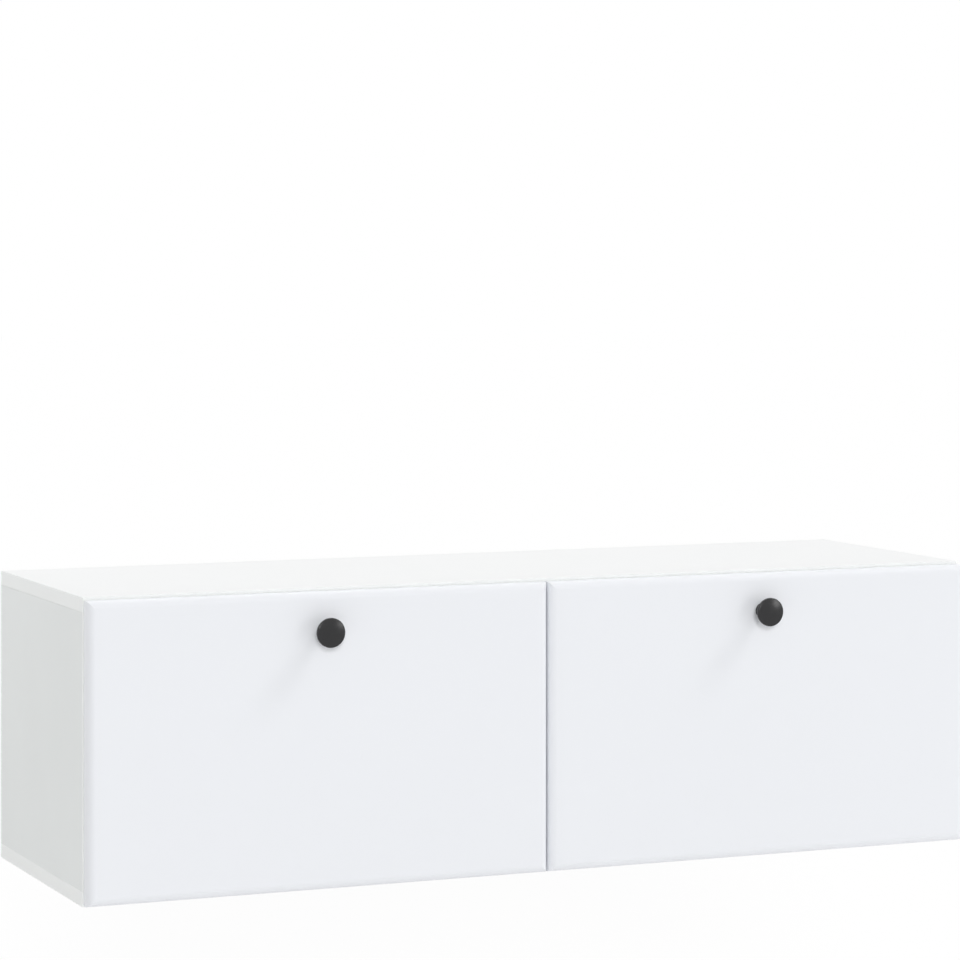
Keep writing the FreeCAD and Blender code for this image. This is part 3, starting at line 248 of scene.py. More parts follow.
class NodeBench:
    """A node tree whose nodes all come from one method."""

    def __init__(self, tree: bpy.types.NodeTree) -> None:
        """Start with the tree empty."""
        self.tree = tree
        tree.nodes.clear()

    def add(self, kind: str, settings: Settings | None = None,
            sockets: Sockets | None = None) -> bpy.types.Node:
        """Make a node: its settings first, then the values and links of its inputs.

        Args:
            kind: The node's type.
            settings: Attributes of the node; "stops" holds a colour ramp's stops.
            sockets: Values or wires by input number, name or identifier.

        Returns:
            The node.
        """
        node = self.tree.nodes.new(kind)
        for name, value in (settings or {}).items():
            if name == "stops":
                self._set_stops(node, value)
            else:
                setattr(node, name, value)
        for key, value in (sockets or {}).items():
            target = self._input(node, key)
            if isinstance(value, Wire):
                self.tree.links.new(value.socket, target)
            elif target.type == "RGBA":
                target.default_value = (*value, 1.0)
            else:
                target.default_value = value
        return node

    def wire(self, kind: str, settings: Settings | None = None,
             sockets: Sockets | None = None, output: int | str = 0) -> Wire:
        """Make a node as add does, and take its output of that number or name."""
        return Wire(self, self.add(kind, settings, sockets).outputs[output])

    @staticmethod
    def _set_stops(node: bpy.types.Node, stops: Iterable[tuple[float, Colour]]) -> None:
        """Give a colour ramp its stops.

        Args:
            node: The Color Ramp node.
            stops: Position and colour of each stop.
        """
        elements = node.color_ramp.elements
        while len(elements) > 1:
            elements.remove(elements[-1])
        for number, (position, colour) in enumerate(stops):
            element = elements[0] if number == 0 else elements.new(position)
            element.position = position
            element.color = (*colour, 1.0)

    @staticmethod
    def _input(node: bpy.types.Node, key: int | str) -> bpy.types.NodeSocket:
        """Find an input.

        Args:
            node: The node.
            key: The input's number, identifier or name.

        Returns:
            The input.
        """
        if isinstance(key, int):
            return node.inputs[key]
        for socket in node.inputs:
            if socket.identifier == key:
                return socket
        return node.inputs[key]


class Graph(NodeBench):
    """The node tree of one material or world, with its shader and output."""

    def __init__(self, owner: "str | bpy.types.World") -> None:
        """Start an empty tree.

        Args:
            owner: The name of a new material, or a world.
        """
        self.owner = bpy.data.materials.new(owner) if isinstance(owner, str) else owner
        self.owner.use_nodes = True
        super().__init__(self.owner.node_tree)

    @cached_property
    def _texture(self) -> bpy.types.Node:
        """The Texture Coordinate node, made at its first use."""
        return self.add("ShaderNodeTexCoord")

    def place(self) -> Wire:
        """Object coordinates, which are the console's own frame at rest."""
        return Wire(self, self._texture.outputs["Object"])

    def facing(self, axis: Axis) -> Wire:
        """One component of the surface's direction, in the console's own frame."""
        return Wire(self, self._texture.outputs["Normal"]).part(axis)

    def _mapped(self, stretch: Triple) -> Wire:
        """Object coordinates with each axis scaled."""
        return self.wire("ShaderNodeMapping", {}, {"Vector": self.place(), "Scale": stretch})

    def noise(self, noise: Noise) -> Wire:
        """A noise value around its middle.

        Args:
            noise: The noise.

        Returns:
            Its value.
        """
        return self.wire("ShaderNodeTexNoise", {}, {
            "Vector": self._mapped(noise.stretch), "Scale": noise.scale,
            "Detail": noise.detail})

    def cells(self, cells: Cells) -> Wire:
        """A random value for each cell of a broken-up surface.

        Args:
            cells: The cells.

        Returns:
            Their values.
        """
        return self.wire("ShaderNodeTexVoronoi", {}, {
            "Vector": self._mapped(cells.stretch), "Scale": cells.scale},
            "Color").part(Axis.X)

    def stops(self, value: Wire, places: Iterable[float],
              colours: Iterable[Colour]) -> Wire:
        """Colour a value by a ramp with stops of these colours at these places."""
        return self.wire("ShaderNodeValToRGB", {"stops": zip(places, colours)}, {0: value})

    def bump(self, height: Wire, relief: Relief) -> Wire:
        """Turn a height into a bumped normal."""
        return self.wire("ShaderNodeBump", {}, {
            "Strength": relief.strength, "Distance": relief.depth, "Height": height})

    def finish(self, sockets: Sockets) -> bpy.types.Material:
        """Close the graph with a Principled shader of these values and wires."""
        return self.close(self.wire("ShaderNodeBsdfPrincipled", {}, sockets))

    def close(self, shader: Wire) -> bpy.types.ID:
        """Feed a shader to the output.

        Args:
            shader: The shader.

        Returns:
            The material or world.
        """
        kind = "World" if isinstance(self.owner, bpy.types.World) else "Material"
        self.add(f"ShaderNodeOutput{kind}", {}, {"Surface": shader})
        return self.owner


# ------------------------------------------------------------------ finishes

@dataclass(frozen=True)
class Extent:
    """The lowest and highest corner of a CAD node at rest."""

    low: Vector
    high: Vector

    @classmethod
    def of(cls, node: str) -> "Extent":
        """Read a node's extent."""
        return cls(*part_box(node))

    @property
    def centre(self) -> Vector:
        """The middle of the box."""
        return (self.low + self.high) / 2

    @property
    def half(self) -> Vector:
        """The way from the middle to the highest corner."""
        return self.high - self.centre


@dataclass(frozen=True)
class ChipCore:
    """Raw particle board, as the unbanded rear edges show it."""

    pale: Colour = screen(206, 178, 138)
    mid: Colour = screen(178, 145, 103)
    dark: Colour = screen(132, 98, 64)
    chips: Cells = Cells(520.0, (0.45, 1.0, 1.6))
    chip_share: float = 0.8
    dust: Noise = Noise(2400.0, 3.0)
    dust_share: float = 0.2
    stops: tuple[float, ...] = (0.12, 0.35, 0.62, 0.9)

    def colour(self, graph: Graph) -> Wire:
        """Long pale and dark chips pressed together.

        Args:
            graph: The graph that the colour is used in.

        Returns:
            The colour.
        """
        chips = graph.cells(self.chips)
        dust = graph.noise(self.dust)
        return graph.stops(chips * self.chip_share + dust * self.dust_share, self.stops,
                           (self.dark, self.mid, self.pale, self.mid))


@dataclass(frozen=True)
class MelamineBoard:
    """White matt foil over particle board, with edge bands and a raw rear edge."""

    name: str
    face: Colour
    end: Colour
    band: float = 1.0 * MM
    seam: float = 0.12 * MM
    seam_shade: float = 0.86
    seam_depth: float = 0.6
    tone: float = 0.985
    cloud: Noise = Noise(6.0, 3.0)
    cloud_tone: float = 0.02
    grain: Noise = Noise(1500.0)
    grain_tone: float = 0.01
    roughness: float = 0.40
    grain_roughness: float = 0.10
    raw_roughness: float = 0.35
    pearl: Noise = Noise(2600.0, 1.0)
    pearl_height: float = 0.10
    relief: Relief = Relief(0.5, 0.05 * MM)
    core: ChipCore = ChipCore()

    def material(self, extent: Extent) -> bpy.types.Material:
        """Make the board's material.

        Args:
            extent: The board's box, from which the edge bands are set out.

        Returns:
            The material.
        """
        graph = Graph(self.name)
        place = graph.place()
        y_facing = graph.facing(Axis.Y)
        raw = y_facing > FACING
        banded = (abs(graph.facing(Axis.X)) > FACING).top(y_facing < -FACING)
        grain = graph.noise(self.grain)
        tone = self.tone + graph.noise(self.cloud) * self.cloud_tone + grain * self.grain_tone
        foil = banded.blend(self.face, self.end) * tone
        seam = self._seam(graph, place, extent)
        foil = seam.blend(foil, foil * self.seam_shade)
        height = graph.noise(self.pearl) * self.pearl_height - seam * self.seam_depth
        return graph.finish({
            "Base Color": raw.blend(foil, self.core.colour(graph)),
            "Roughness": self.roughness + grain * self.grain_roughness
            + raw * self.raw_roughness,
            "Normal": graph.bump(height, self.relief),
        })

    def _seam(self, graph: Graph, place: Wire, extent: Extent) -> Wire:
        """1 on the glue lines of the bands, which show on the two flat faces.

        Args:
            graph: The graph that the mask is used in.
            place: Object coordinates.
            extent: The board's box.

        Returns:
            The mask.
        """
        flat = abs(graph.facing(Axis.Z)) > FACING
        inset = extent.half.x - abs(place.part(Axis.X) - extent.centre.x)
        at_end = abs(inset - self.band) < self.seam
        at_front = abs(place.part(Axis.Y) - (extent.low.y + self.band)) < self.seam
        return at_end.top(at_front) * flat


@dataclass(frozen=True)
class PanelBoard:
    """White matt foil on an upright, whose rear edge is raw."""

    name: str
    face: Colour
    drift: Colour
    tone: float = 0.99
    cloud: Noise = Noise(5.0, 3.0)
    grain: Noise = Noise(1500.0)
    grain_tone: float = 0.01
    roughness: float = 0.42
    grain_roughness: float = 0.10
    raw_roughness: float = 0.35
    pearl: Noise = Noise(2600.0, 1.0)
    relief: Relief = Relief(0.35, 0.02 * MM)
    core: ChipCore = ChipCore()

    @cache
    def material(self) -> bpy.types.Material:
        """Make the upright's material.

        Returns:
            The material.
        """
        graph = Graph(self.name)
        grain = graph.noise(self.grain)
        raw = graph.facing(Axis.Y) > FACING
        # face and drift are given darker and greener than the long boards' foil: painted
        # shade of the side face.
        foil = graph.noise(self.cloud).ramp(*CLOUDY).blend(self.face, self.drift)
        foil = foil * (self.tone + grain * self.grain_tone)
        return graph.finish({
            "Base Color": raw.blend(foil, self.core.colour(graph)),
            "Roughness": self.roughness + grain * self.grain_roughness
            + raw * self.raw_roughness,
            "Normal": graph.bump(graph.noise(self.pearl), self.relief),
        })


@dataclass(frozen=True)
class WrappedFront:
    """Satin foil drawn over a fibre-board flap and round its edges."""

    name: str
    foil: Colour
    inner: Colour
    fibre: Colour = screen(170, 138, 100)
    milled_from: float = 0.4 * MM
    tone: float = 0.99
    cloud: Noise = Noise(4.0)
    cloud_tone: float = 0.014
    skin: Noise = Noise(900.0)
    skin_tone: float = 0.006
    roughness: float = 0.34
    skin_roughness: float = 0.06
    cloud_roughness: float = 0.05
    milled_roughness: float = 0.4
    waves: Noise = Noise(22.0, 1.0)
    skin_height: float = 0.25
    relief: Relief = Relief(0.25, 0.06 * MM)

    def material(self, extent: Extent) -> bpy.types.Material:
        """Make the flap's material.

        Args:
            extent: The flap's box.

        Returns:
            The material.
        """
        graph = Graph(self.name)
        rearward = graph.facing(Axis.Y) > FACING
        depth = extent.high.y - graph.place().part(Axis.Y)
        inner_face = rearward * (depth < self.milled_from)
        milled = rearward * (depth > self.milled_from)
        cloud = graph.noise(self.cloud)
        skin = graph.noise(self.skin)
        # foil carries a painted blue tint of the front light; inner is the plain white.
        sheet = inner_face.blend(self.foil, self.inner) * (
            self.tone + cloud * self.cloud_tone + skin * self.skin_tone)
        height = skin * self.skin_height + graph.noise(self.waves)
        return graph.finish({
            "Base Color": milled.blend(sheet, self.fibre),
            "Roughness": self.roughness + skin * self.skin_roughness
            + cloud * self.cloud_roughness + milled * self.milled_roughness,
            "Normal": graph.bump(height, self.relief),
        })


@dataclass(frozen=True)
class Hardboard:
    """Thin back panel: white paint in front, pressed fibre with a screen mark behind."""

    name: str
    paint: Colour
    paint_drift: Colour
    fibre: Colour
    fibre_dark: Colour
    screen_pitch: float = 1.3 * MM
    screen_tone: float = 0.04
    fibre_tone: float = 0.97
    fleck: Noise = Noise(600.0, 4.0, (0.5, 1.0, 1.0))
    fleck_share: float = 0.6
    cloud: Noise = Noise(9.0, 3.0)
    cloud_share: float = 0.4
    stops: tuple[float, ...] = (0.38, 0.62)
    stipple: Noise = Noise(1100.0)
    stipple_height: float = 0.25
    roughness: float = 0.78
    paint_gloss: float = 0.28
    stipple_roughness: float = 0.08
    relief: Relief = Relief(0.45, 0.08 * MM)

    @cache
    def material(self) -> bpy.types.Material:
        """Make the back panel's material.

        Returns:
            The material.
        """
        graph = Graph(self.name)
        painted = graph.facing(Axis.Y) < -FACING
        place = graph.place()
        turns = 2 * math.pi / self.screen_pitch
        mesh = (place.part(Axis.X) * turns).sine() * (place.part(Axis.Z) * turns).sine()
        fleck = graph.noise(self.fleck)
        cloud = graph.noise(self.cloud)
        fibre = graph.stops(fleck * self.fleck_share + cloud * self.cloud_share, self.stops,
                            (self.fibre_dark, self.fibre))
        fibre = fibre * (self.fibre_tone + mesh * self.screen_tone)
        stipple = graph.noise(self.stipple)
        paint = cloud.ramp(*CLOUDY).blend(self.paint, self.paint_drift)
        height = stipple * painted * self.stipple_height + (mesh + fleck) * (1 - painted)
        return graph.finish({
            "Base Color": painted.blend(fibre, paint),
            "Roughness": self.roughness - painted * self.paint_gloss
            + stipple * self.stipple_roughness,
            "Normal": graph.bump(height, self.relief),
        })


@dataclass(frozen=True)
class PowderCoat:
    """Black powder coat on a turned knob, a little paler towards its rim."""

    name: str
    colour: Colour
    rim_shade: float = 1.25
    tone: float = 0.9
    cloud: Noise = Noise(120.0)
    cloud_tone: float = 0.2
    peel: Noise = Noise(3200.0)
    roughness: float = 0.16
    peel_roughness: float = 0.04
    cloud_roughness: float = 0.04
    gloss_level: float = 0.48
    relief: Relief = Relief(0.30, 0.03 * MM)

    def material(self, extent: Extent) -> bpy.types.Material:
        """Make the knob's material.

        Args:
            extent: The knob's box, which gives its axis.

        Returns:
            The material.
        """
        graph = Graph(self.name)
        place = graph.place()
        off_x = place.part(Axis.X) - extent.centre.x
        off_z = place.part(Axis.Z) - extent.centre.z
        rim = (off_x * off_x + off_z * off_z).ramp(0.0, extent.half.x ** 2)
        peel = graph.noise(self.peel)
        cloud = graph.noise(self.cloud)
        coat = rim.blend(self.colour, shaded(self.colour, self.rim_shade))
        return graph.finish({
            "Base Color": coat * (self.tone + cloud * self.cloud_tone),
            "Roughness": self.roughness + peel * self.peel_roughness
            + cloud * self.cloud_roughness,
            "Specular IOR Level": self.gloss_level,
            "Normal": graph.bump(peel, self.relief),
        })


@dataclass(frozen=True)
class PlatedSteel:
    """Plated sheet, wire or turned steel: drawn along one axis, with a mottled plating."""

    name: str
    colour: Colour
    roughness: float
    mottle: float
    lines: Noise = Noise(3600.0, stretch=(0.04, 1.0, 1.0))
    line_roughness: float = 0.12
    spangle: Cells = Cells(260.0)
    spangle_roughness: float = 0.08
    haze: Noise = Noise(60.0, 3.0)
    tarnish: Triple = (0.98, 0.95, 0.90)
    tarnish_span: Span = (0.3, 0.75)
    relief: Relief = Relief(0.20, 0.02 * MM)

    @cache
    def material(self) -> bpy.types.Material:
        """Make the metal's material.

        Returns:
            The material.
        """
        graph = Graph(self.name)
        spangle = graph.cells(self.spangle)
        lines = graph.noise(self.lines)
        haze = graph.noise(self.haze)
        tone = (1 - self.mottle + spangle * self.mottle
                + (haze - NOISE_MIDDLE) * self.mottle)
        warm = tuple(level * share for level, share in zip(self.colour, self.tarnish))
        return graph.finish({
            "Base Color": haze.ramp(*self.tarnish_span).blend(self.colour, warm) * tone,
            "Metallic": 1.0,
            "Roughness": self.roughness
            + (spangle - NOISE_MIDDLE) * self.spangle_roughness
            + (lines - NOISE_MIDDLE) * self.line_roughness,
            "Normal": graph.bump(lines, self.relief),
        })


@dataclass(frozen=True)
class CastMetal:
    """Dull die-cast alloy with a sandy skin."""

    name: str
    colour: Colour
    stain: Noise = Noise(180.0, 3.0)
    stain_shade: float = 0.72
    stain_span: Span = (0.35, 0.7)
    metallic: float = 0.9
    roughness: float = 0.46
    sand: Noise = Noise(1400.0, 4.0)
    sand_roughness: float = 0.18
    relief: Relief = Relief(0.5, 0.06 * MM)

    @cache
    def material(self) -> bpy.types.Material:
        """Make the casting's material.

        Returns:
            The material.
        """
        graph = Graph(self.name)
        sand = graph.noise(self.sand)
        stain = graph.noise(self.stain).ramp(*self.stain_span)
        return graph.finish({
            "Base Color": stain.blend(shaded(self.colour, self.stain_shade), self.colour),
            "Metallic": self.metallic,
            "Roughness": self.roughness + sand * self.sand_roughness,
            "Normal": graph.bump(sand, self.relief),
        })


@dataclass(frozen=True)
class PalePlastic:
    """White plastic whose tone drifts a little under a finely textured skin."""

    name: str
    colour: Colour
    shade: float
    flow: Noise
    skin: Noise
    roughness: float
    skin_roughness: float
    relief: Relief

    @cache
    def material(self) -> bpy.types.Material:
        """Make the plastic's material.

        Returns:
            The material.
        """
        graph = Graph(self.name)
        skin = graph.noise(self.skin)
        flow = graph.noise(self.flow).ramp(*CLOUDY)
        return graph.finish({
            "Base Color": flow.blend(shaded(self.colour, self.shade), self.colour),
            "Roughness": self.roughness + skin * self.skin_roughness,
            "Normal": graph.bump(skin, self.relief),
        })


@dataclass(frozen=True)
class FerriteMagnet:
    """Sintered ferrite between two steel pole plates."""

    name: str
    ferrite: Colour
    steel: Colour
    pole_share: float = 0.30
    tone: float = 0.85
    grit: Noise = Noise(2600.0, 3.0)
    grit_tone: float = 0.3
    roughness: float = 0.66
    steel_polish: float = 0.34
    brushed: Noise = Noise(3600.0, stretch=(0.05, 1.0, 1.0))
    brushed_roughness: float = 0.10
    relief: Relief = Relief(0.35, 0.03 * MM)

    def material(self, extent: Extent) -> bpy.types.Material:
        """Make the magnet's material.

        Args:
            extent: The magnet's box, which sets out the plates.

        Returns:
            The material.
        """
        graph = Graph(self.name)
        height = abs(graph.place().part(Axis.Z) - extent.centre.z)
        plate = height > extent.half.z * (1 - 2 * self.pole_share)
        grit = graph.noise(self.grit)
        brushed = graph.noise(self.brushed)
        colour = plate.blend(self.ferrite, self.steel) * (self.tone + grit * self.grit_tone)
        return graph.finish({
            "Base Color": colour,
            "Metallic": plate,
            "Roughness": self.roughness - plate * self.steel_polish
            + brushed * self.brushed_roughness,
            "Normal": graph.bump(grit, self.relief),
        })


@dataclass(frozen=True)
class ClearPad:
    """Soft clear pad with a hazy skin, given a pale colour: painted light that stands in for
    the white foil showing through it.
    """

    name: str
    colour: Colour
    haze: Noise = Noise(900.0)
    roughness: float = 0.08
    haze_roughness: float = 0.12
    refraction: float = 1.49
    clearness: float = 0.12
    relief: Relief = Relief(0.15, 0.02 * MM)

    @cache
    def material(self) -> bpy.types.Material:
        """Make the pad's material.

        Returns:
            The material.
        """
        graph = Graph(self.name)
        haze = graph.noise(self.haze)
        return graph.finish({
            # The pale base colour is painted light: the white foil seen through the pad,
            # which would otherwise render dark.
            "Base Color": self.colour,
            "Roughness": self.roughness + haze * self.haze_roughness,
            "IOR": self.refraction,
            "Transmission Weight": self.clearness,
            "Normal": graph.bump(haze, self.relief),
        })


@dataclass(frozen=True)
class BeechRod:
    """Beech dowel rod with a straight grain and short flecks."""

    name: str
    pale: Colour
    ray: Colour
    grain: Noise = Noise(1300.0, 3.0, (1.0, 1.0, 0.05))
    grain_share: float = 0.7
    fleck: Noise = Noise(2600.0, stretch=(1.0, 1.0, 0.25))
    fleck_share: float = 0.3
    fleck_span: Span = (0.55, 0.7)
    ray_span: Span = (0.3, 0.8)
    roughness: float = 0.62
    grain_roughness: float = 0.12
    relief: Relief = Relief(0.4, 0.05 * MM)

    @cache
    def material(self) -> bpy.types.Material:
        """Make the dowel's material.

        Returns:
            The material.
        """
        graph = Graph(self.name)
        grain = graph.noise(self.grain)
        fleck = graph.noise(self.fleck).ramp(*self.fleck_span)
        figure = grain * self.grain_share + fleck * self.fleck_share
        return graph.finish({
            "Base Color": figure.ramp(*self.ray_span).blend(self.pale, self.ray),
            "Roughness": self.roughness + grain * self.grain_roughness,
            "Normal": graph.bump(grain, self.relief),
        })


class Finishes:
    """Every finish of the console; those that suit any piece are made once."""

    long_board = MelamineBoard(
        "white_matt_foil_long", face=screen(247, 248, 248), end=screen(251, 253, 252))
    # The uprights get the same white foil as the long boards, set darker and greener: painted
    # shade for the side faces, which get less light.
    upright = PanelBoard(
        "white_matt_foil_upright_painted_shade", face=screen(239, 242, 241), drift=screen(242, 245, 244))
    # The front foil's blue cast stands in for the bluish light on the fronts, while the inner
    # face keeps a neutral white: painted light tint.
    flap = WrappedFront(
        "white_satin_foil_front_painted_blue_light", foil=screen(244, 246, 250), inner=screen(246, 247, 247))
    back = Hardboard(
        "back_hardboard", paint=screen(240, 241, 240), paint_drift=screen(243, 244, 243),
        fibre=screen(160, 122, 84), fibre_dark=screen(128, 94, 62))
    knob = PowderCoat("knob_black_coat", screen(23, 23, 25))
    zinc = PlatedSteel("zinc_plated_steel", (0.60, 0.61, 0.63), roughness=0.38, mottle=0.10)
    fastener = PlatedSteel(
        "zinc_plated_screw", (0.56, 0.56, 0.57), roughness=0.32, mottle=0.05,
        lines=Noise(3600.0, stretch=(1.0, 1.0, 0.05)))
    nickel = PlatedSteel(
        "nickel_plated_steel", (0.66, 0.63, 0.59), roughness=0.24, mottle=0.04)
    casting = CastMetal("cast_zinc_lock", (0.55, 0.55, 0.57))
    plastic = PalePlastic(
        "white_moulded_plastic", screen(240, 240, 237), shade=0.96, flow=Noise(45.0),
        skin=Noise(4200.0), roughness=0.44, skin_roughness=0.12,
        relief=Relief(0.4, 0.03 * MM))
    magnet = FerriteMagnet(
        "catch_magnet_steel", ferrite=(0.035, 0.034, 0.036), steel=(0.58, 0.58, 0.59))
    # pale colour: painted light of the white foil showing through the pad.
    pad = ClearPad("clear_pad", (0.80, 0.83, 0.83))
    beech = BeechRod("beech_dowel_rod", pale=screen(214, 178, 134), ray=screen(176, 134, 92))
    band = PalePlastic(
        "white_edge_band", screen(250, 251, 250), shade=0.97, flow=Noise(12.0),
        skin=Noise(2200.0, 1.0), roughness=0.36, skin_roughness=0.10,
        relief=Relief(0.3, 0.03 * MM))


# ------------------------------------------------------------------ pieces

class Dresser:
    """Puts finishes on CAD nodes and reports each of them."""

    smoother_name = "smooth_round_faces"
    smooth_degrees = 32.0

    def __init__(self) -> None:
        """Make the node group that smooths round faces."""
        self._smoother = self._smoothing_group()
        self.dressed: set[str] = set()

    def _smoothing_group(self) -> bpy.types.NodeTree:
        """A geometry group that shades smooth across edges under the limit angle.

        Returns:
            The node group.
        """
        tree = bpy.data.node_groups.new(self.smoother_name, "GeometryNodeTree")
        for direction in ("INPUT", "OUTPUT"):
            tree.interface.new_socket("Geometry", in_out=direction,
                                      socket_type="NodeSocketGeometry")
        bench = NodeBench(tree)
        angle = bench.wire("GeometryNodeInputMeshEdgeAngle", output="Unsigned Angle")
        gentle = bench.wire("FunctionNodeCompare", {"operation": "LESS_THAN"},
                            {0: angle, 1: math.radians(self.smooth_degrees)})
        start = bench.wire("NodeGroupInput")
        faces = bench.wire("GeometryNodeSetShadeSmooth", {"domain": "FACE"},
                           {"Geometry": start})
        edges = bench.wire("GeometryNodeSetShadeSmooth", {"domain": "EDGE"},
                           {"Geometry": faces, "Shade Smooth": gentle})
        bench.add("NodeGroupOutput", {}, {0: edges})
        return tree

    def dress(self, node: str, material: bpy.types.Material) -> None:
        """Give a CAD node its material and smooth its round faces.

        Args:
            node: The CAD node.
            material: Its material.
        """
        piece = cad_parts[node]
        if not piece.material_slots:
            piece.data.materials.append(material)
        for slot in piece.material_slots:
            slot.material = material
        smooth = piece.modifiers.new(self.smoother_name, "NODES")
        smooth.node_group = self._smoother
        self.dressed.add(node)
        LOG.info("dressed %s with %s", node, material.name)

    def check(self) -> None:
        """Stop if a CAD node was left without a finish of its own."""
        bare = set(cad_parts) - self.dressed
        if bare:
            raise ValueError(f"no finish on {sorted(bare)}")


def place_mesh(name: str, mesh: bmesh.types.BMesh,
               material: bpy.types.Material) -> bpy.types.Object:
    """Turn a bmesh into an object of the scene.

    Args:
        name: The object's name.
        mesh: Its mesh, which is freed.
        material: Its material.

    Returns:
        The object.
    """
    data = bpy.data.meshes.new(name)
    mesh.to_mesh(data)
    mesh.free()
    data.materials.append(material)
    item = bpy.data.objects.new(name, data)
    bpy.context.scene.collection.objects.link(item)
    return item


@dataclass
class EdgeBand:
    """A band glued to the front edge of an upright, with two softened long edges."""

    upright: str
    body: str = "carcass"
    thickness: float = 0.5 * MM
    edge_radius: float = 0.4 * MM
    edge_segments: int = 3
    edge_profile: float = 0.5
    end_gap: float = 0.05 * MM
    tolerance: float = 0.0001 * MM

    def build(self, material: bpy.types.Material) -> None:
        """Build the band against its upright.

        Args:
            material: The band's material.
        """
        extent = Extent.of(self.upright)
        front = extent.low.y - self.thickness
        low = Vector((extent.low.x, front, extent.low.z + self.end_gap))
        high = Vector((extent.high.x, extent.low.y, extent.high.z - self.end_gap))
        size = high - low
        mesh = bmesh.new()
        bmesh.ops.create_cube(mesh, size=1.0)
        cube_corner = Vector((0.5, 0.5, 0.5))
        for vertex in mesh.verts:
            share = vertex.co + cube_corner
            vertex.co = low + Vector((share.x * size.x, share.y * size.y, share.z * size.z))
        long_edges = [edge for edge in mesh.edges
                      if all(abs(vertex.co.y - front) < self.tolerance
                             for vertex in edge.verts)
                      and abs(edge.verts[0].co.z - edge.verts[1].co.z) > size.z / 2]
        bmesh.ops.bevel(mesh, geom=long_edges, offset=self.edge_radius, affect="EDGES",
                        segments=self.edge_segments, profile=self.edge_profile)
        band = place_mesh(f"{self.upright}_front_band", mesh, material)
        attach(band, self.body)
        LOG.info("built %s on %s", band.name, self.body)


@dataclass
class Carcass:
    """Boards, back panel and the fittings that join them."""

    long_boards: tuple[str, ...] = ("top_panel", "bottom_panel")
    uprights: tuple[str, ...] = ("left_side_panel", "right_side_panel", "centre_divider")
    fasteners: tuple[str, ...] = ("cam_bolts", "hinge_arm_screws", "catch_screws")

    def build(self) -> None:
        """Add the edge bands of the uprights."""
        for upright in self.uprights:
            EdgeBand(upright).build(Finishes.band.material())

    def dress(self, dresser: Dresser) -> None:
        """Finish the carcass.

        Args:
            dresser: Puts the finishes on.
        """
        for board in self.long_boards:
            dresser.dress(board, Finishes.long_board.material(Extent.of(board)))
        for upright in self.uprights:
            dresser.dress(upright, Finishes.upright.material())
        dresser.dress("back_panel", Finishes.back.material())
        dresser.dress("cam_locks", Finishes.casting.material())
        dresser.dress("cam_covers", Finishes.plastic.material())
        dresser.dress("corner_dowels", Finishes.beech.material())
        for fastener in self.fasteners:
            dresser.dress(fastener, Finishes.fastener.material())


@dataclass
class WallFixing:
    """The rail on the wall and the two hangers that hook over it."""

    sides: tuple[Side, ...] = tuple(Side)

    def dress(self, dresser: Dresser) -> None:
        """Finish the rail, hangers, hooks and adjusting screws.

        Args:
            dresser: Puts the finishes on.
        """
        dresser.dress("wall_rail", Finishes.zinc.material())
        dresser.dress("hanger_adjusters", Finishes.fastener.material())
        for side in self.sides:
            dresser.dress(f"{side.value}_hanger", Finishes.plastic.material())
            dresser.dress(f"{side.value}_hanger_hook", Finishes.zinc.material())


@dataclass
class Flap:
    """One drop-down flap with its knob, hinges, stay and catch."""

    side: Side
    hinge_positions: tuple[str, ...] = ("inner", "outer")
    hinge_pieces: tuple[str, ...] = ("arm", "leaf", "pin")

    def _node(self, piece: str) -> str:
        """The CAD node of one of the flap's pieces."""
        return f"{self.side.value}_{piece}"

    def dress(self, dresser: Dresser) -> None:
        """Finish the flap and all that goes with it.

        Args:
            dresser: Puts the finishes on.
        """
        flap = self._node("flap")
        dresser.dress(flap, Finishes.flap.material(Extent.of(flap)))
        knob = self._node("knob")
        dresser.dress(knob, Finishes.knob.material(Extent.of(knob)))
        for screws in ("flap_screws", "knob_screw"):
            dresser.dress(self._node(screws), Finishes.fastener.material())
        self._dress_hinges(dresser)
        self._dress_stay(dresser)
        self._dress_catch(dresser)

    def _dress_hinges(self, dresser: Dresser) -> None:
        """Finish the hinges.

        Args:
            dresser: Puts the finishes on.
        """
        for position in self.hinge_positions:
            for piece in self.hinge_pieces:
                dresser.dress(self._node(f"{position}_hinge_{piece}"),
                              Finishes.nickel.material())

    def _dress_stay(self, dresser: Dresser) -> None:
        """Finish the stay's arm, stud, rivet and bracket.

        Args:
            dresser: Puts the finishes on.
        """
        for piece in ("stay_arm", "stay_stud", "stay_rivet"):
            dresser.dress(self._node(piece), Finishes.nickel.material())
        dresser.dress(self._node("stay_bracket"), Finishes.zinc.material())

    def _dress_catch(self, dresser: Dresser) -> None:
        """Finish the catch, its strike plate and the pads.

        Args:
            dresser: Puts the finishes on.
        """
        magnet = self._node("catch_magnet")
        dresser.dress(magnet, Finishes.magnet.material(Extent.of(magnet)))
        dresser.dress(self._node("catch_housing"), Finishes.plastic.material())
        dresser.dress(self._node("strike_plate"), Finishes.zinc.material())
        dresser.dress(self._node("bumpers"), Finishes.pad.material())


# ------------------------------------------------------------------ studio

@dataclass(frozen=True)
class DistantLamp:
    """A far soft lamp: its direction, how wide it looks and how bright it shines."""

    name: str
    towards: Triple
    width_degrees: float
    strength: float

    def build(self) -> None:
        """Hang the lamp."""
        data = bpy.data.lights.new(self.name, "SUN")
        data.angle = math.radians(self.width_degrees)
        data.energy = self.strength
        lamp = bpy.data.objects.new(self.name, data)
        lamp.rotation_euler = Vector(self.towards).to_track_quat("Z", "Y").to_euler()
        bpy.context.scene.collection.objects.link(lamp)
        LOG.info("hung %s", self.name)


